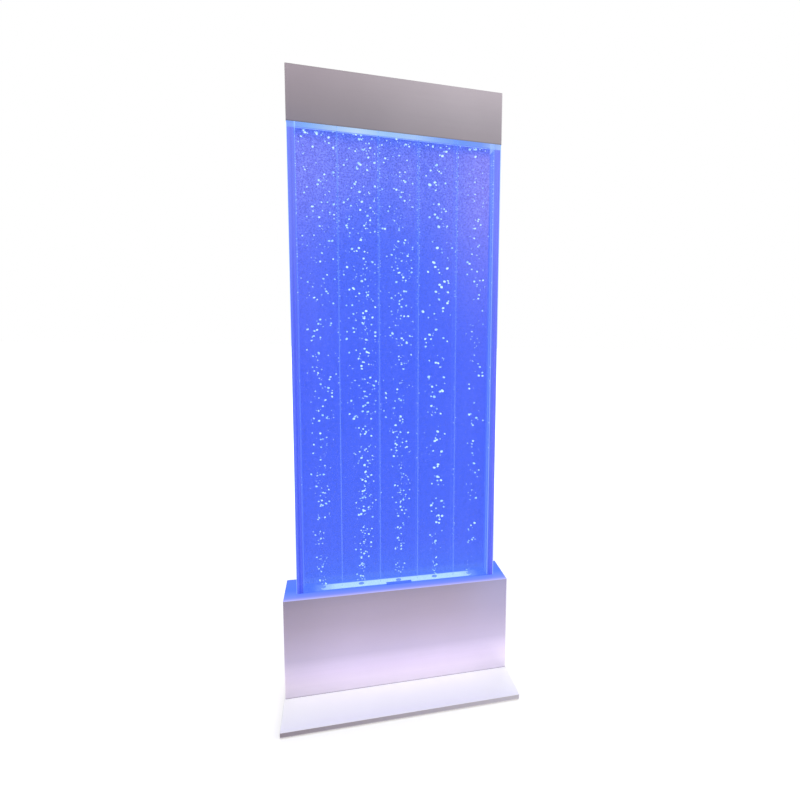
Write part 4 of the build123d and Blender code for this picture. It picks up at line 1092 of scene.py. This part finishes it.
for number, (count, foot, head, small, large, gaps, steps) in enumerate(stream_facts):
    middle = nozzle_xs[number]
    rise = (head_z - foot_z) / (len(steps) - 1)
    way = [(middle + step / 1000, slot_middle, foot_z + i * rise) for i, step in enumerate(steps)]
    mesh = stream.grow(
        path_mesh("stream_way", [way]),
        count=count,
        foot_spread=foot / 1000,
        head_spread=head / 1000,
        smallest=small / 1000,
        largest=large / 1000,
        middle=middle,
        reach=stream_half,
        gaps=gaps,
        seed=number * 20 + 3,
    )
    level = [(middle + side, -0.012, water_level + 0.001) for side in (-0.034, 0.034)]
    foam = stream.grow(
        path_mesh("foam_way", [level]),
        count=8,
        foot_spread=0.0,
        head_spread=0.008,
        smallest=0.0012,
        largest=0.0036,
        middle=middle,
        reach=stream_half,
        gaps=0.0,
        seed=number * 20 + 9,
    )
    risen, afloat = [len(made.polygons) // faces_each for made in (mesh, foam)]
    print("stream", number + 1, "has", risen, "bubbles and", afloat, "afloat")
    meshes += [mesh, foam]
joined("bubbles", meshes, bubble_finish, "frame")

# %% [markdown]
# ## Droplets that cling
#
# Small air bubbles cling to the acrylic where it is glued: dotted rows run up both sides of every
# divider, denser towards the top, and four faint level rows cross the middle channel. A few
# hundred more are strewn over a flat patch just behind the front sheet.

# %% Droplet finish and the tree for rows
# A droplet glows by itself as painted light: the noise makes about half of them bright as painted glints
# and leaves the rest a dark blue of painted shade.
drop = Finish("clinging_droplet")
glint_and_shade = drop.noise(220, detail=1)
drop_finish = drop.shade(
    Base_Color=(0.04, 0.10, 0.3, 1),
    Roughness=0.15,
    Specular_IOR_Level=0.3,
    Emission_Color=drop.mix(drop.between(glint_and_shade, 0.45, 0.52), seen(78, 122, 238), seen(196, 230, 255)),
    Emission_Strength=1.0,
)


def droplets(tree, points, size, thickness):
    """End a tree with a small flattened ball on each point."""
    ball = tree.node("GeometryNodeMeshIcoSphere", values={"Radius": 1.0, "Subdivisions": 1})
    shape = tree.node("ShaderNodeCombineXYZ", values=[size, size * thickness, size])
    balls = {"Points": points, "Instance": ball, "Scale": shape}
    tree.close(tree.node("GeometryNodeInstanceOnPoints", values=balls), drop_finish)


rows = Grower("droplet_rows", count="Int", smallest="Float", largest="Float", seed="Int")
points, x, y, z = rows.dotted(rows.line())
kept = rows.thinned(points, rows.chance(0, 1, 0) > rows.between(z, 1.0, 1.58, 0.08, 0.75))
slips = [rows.chance(-0.0004, 0.0004, 1), 0.0, rows.chance(-0.003, 0.003, 2)]
slip = rows.node("ShaderNodeCombineXYZ", values=slips)
kept = rows.node("GeometryNodeSetPosition", values={"Geometry": kept, "Offset": slip})
droplets(rows, kept, rows.size(3, 2), 0.6)
print("the rows' tree has", len(rows.tree.nodes), "nodes")

# %% Rows of droplets
on_sheet, row_head = 0.0012 - wall_inside, water_level - 0.005
divider_xs = [(number - 1.5) * channel_pitch for number in range(4)]
feet = [(divider + side, 0.45) for divider in divider_xs for side in (-0.0031, 0.0031)]
feet += [(end, 0.6) for end in (0.0017 - side_inside, side_inside - 0.0017)]
ways = [[(across, on_sheet, foot), (across, on_sheet, row_head)] for across, foot in feet]
dotted = rows.grow(path_mesh("droplet_way", ways), count=150, smallest=0.0009, largest=0.0018, seed=5)

level_zs = (1.137, 1.279, 1.426, 1.565)
ways = [[(-0.054, on_sheet, level), (0.054, on_sheet, level)] for level in level_zs]
crossing = rows.grow(path_mesh("level_way", ways), count=44, smallest=0.0005, largest=0.0010, seed=9)
print("rows have", len(dotted.polygons), "and", len(crossing.polygons), "faces")

# %% Strewn droplets
strewn = Grower("strewn_droplets", density="Float", smallest="Float", largest="Float", seed="Int")
settings = {"Mesh": strewn.given("Path"), "Density": strewn.given("density"), "Seed": strewn.given("seed")}
points = strewn.node("GeometryNodeDistributePointsOnFaces", {"distribute_method": "RANDOM"}, settings)
x, y, z = strewn.spot()
upper_right = strewn.between(x, 0.1, 0.3) * strewn.between(z, 1.2, 1.6)
wet = strewn.between(z, 1.0, 1.66, 0.03, 0.5) + upper_right * 0.5
kept = strewn.thinned(points, strewn.chance(0, 1, 0) > wet)
droplets(strewn, kept, strewn.size(3, 3), 0.5)

patch = bpy.data.meshes.new("droplet_patch")
patch_y = 0.001 - wall_inside
corners = [(-0.28, 0.6), (0.28, 0.6), (0.28, 1.66), (-0.28, 1.66)]
patch.from_pydata([(across, patch_y, up) for across, up in corners], [], [(0, 1, 2, 3)])
scattered = strewn.grow(patch, density=2400.0, smallest=0.0005, largest=0.0014, seed=11)
joined("clinging_droplets", [dotted, crossing, scattered], drop_finish, "frame")

# %% [markdown]
# ## The water's edge
#
# Water climbs a little at a wall, and this rim catches the light as a thin bright line at the
# front and the ends of each channel. It is a slim tube swept along a path at the water's level.

# %% Water line
rim_water = Finish("water_rim")
wobble = rim_water.noise(90, detail=1)
rim_finish = rim_water.shade(
    Base_Color=(0.4, 0.6, 0.95, 1),
    Roughness=0.08 + 0.1 * wobble,
    Emission_Color=rim_water.mix(wobble, seen(84, 120, 244), seen(108, 148, 250)),
    Emission_Strength=0.8,
)
edge = Grower("water_edge", radius="Float", sides="Int")
section = {"Resolution": edge.given("sides"), "Radius": edge.given("radius")}
section = edge.node("GeometryNodeCurvePrimitiveCircle", values=section)
edge.close(edge.node("GeometryNodeCurveToMesh", values=[edge.line(), section]), rim_finish)

water_film = 0.0002
rim_z, rim_y = water_level - 0.0005, 0.001 - wall_inside
rim_half = channel_pitch / 2 - divider_half - water_film - 0.0008
ways = []
for middle in nozzle_xs:
    rounds = [(-rim_half, -0.024), (-rim_half, rim_y), (rim_half, rim_y), (rim_half, -0.024)]
    ways.append([(middle + side, y, rim_z) for side, y in rounds])
rims = edge.grow(path_mesh("water_edge_way", ways), radius=0.0006, sides=8)
joined("water_rim", [rims], rim_finish, "frame")

# %% Bounds, as plain lists, and the closing line
low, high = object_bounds()
print("visual box:", [round(v, 3) for v in (*low, *high)])
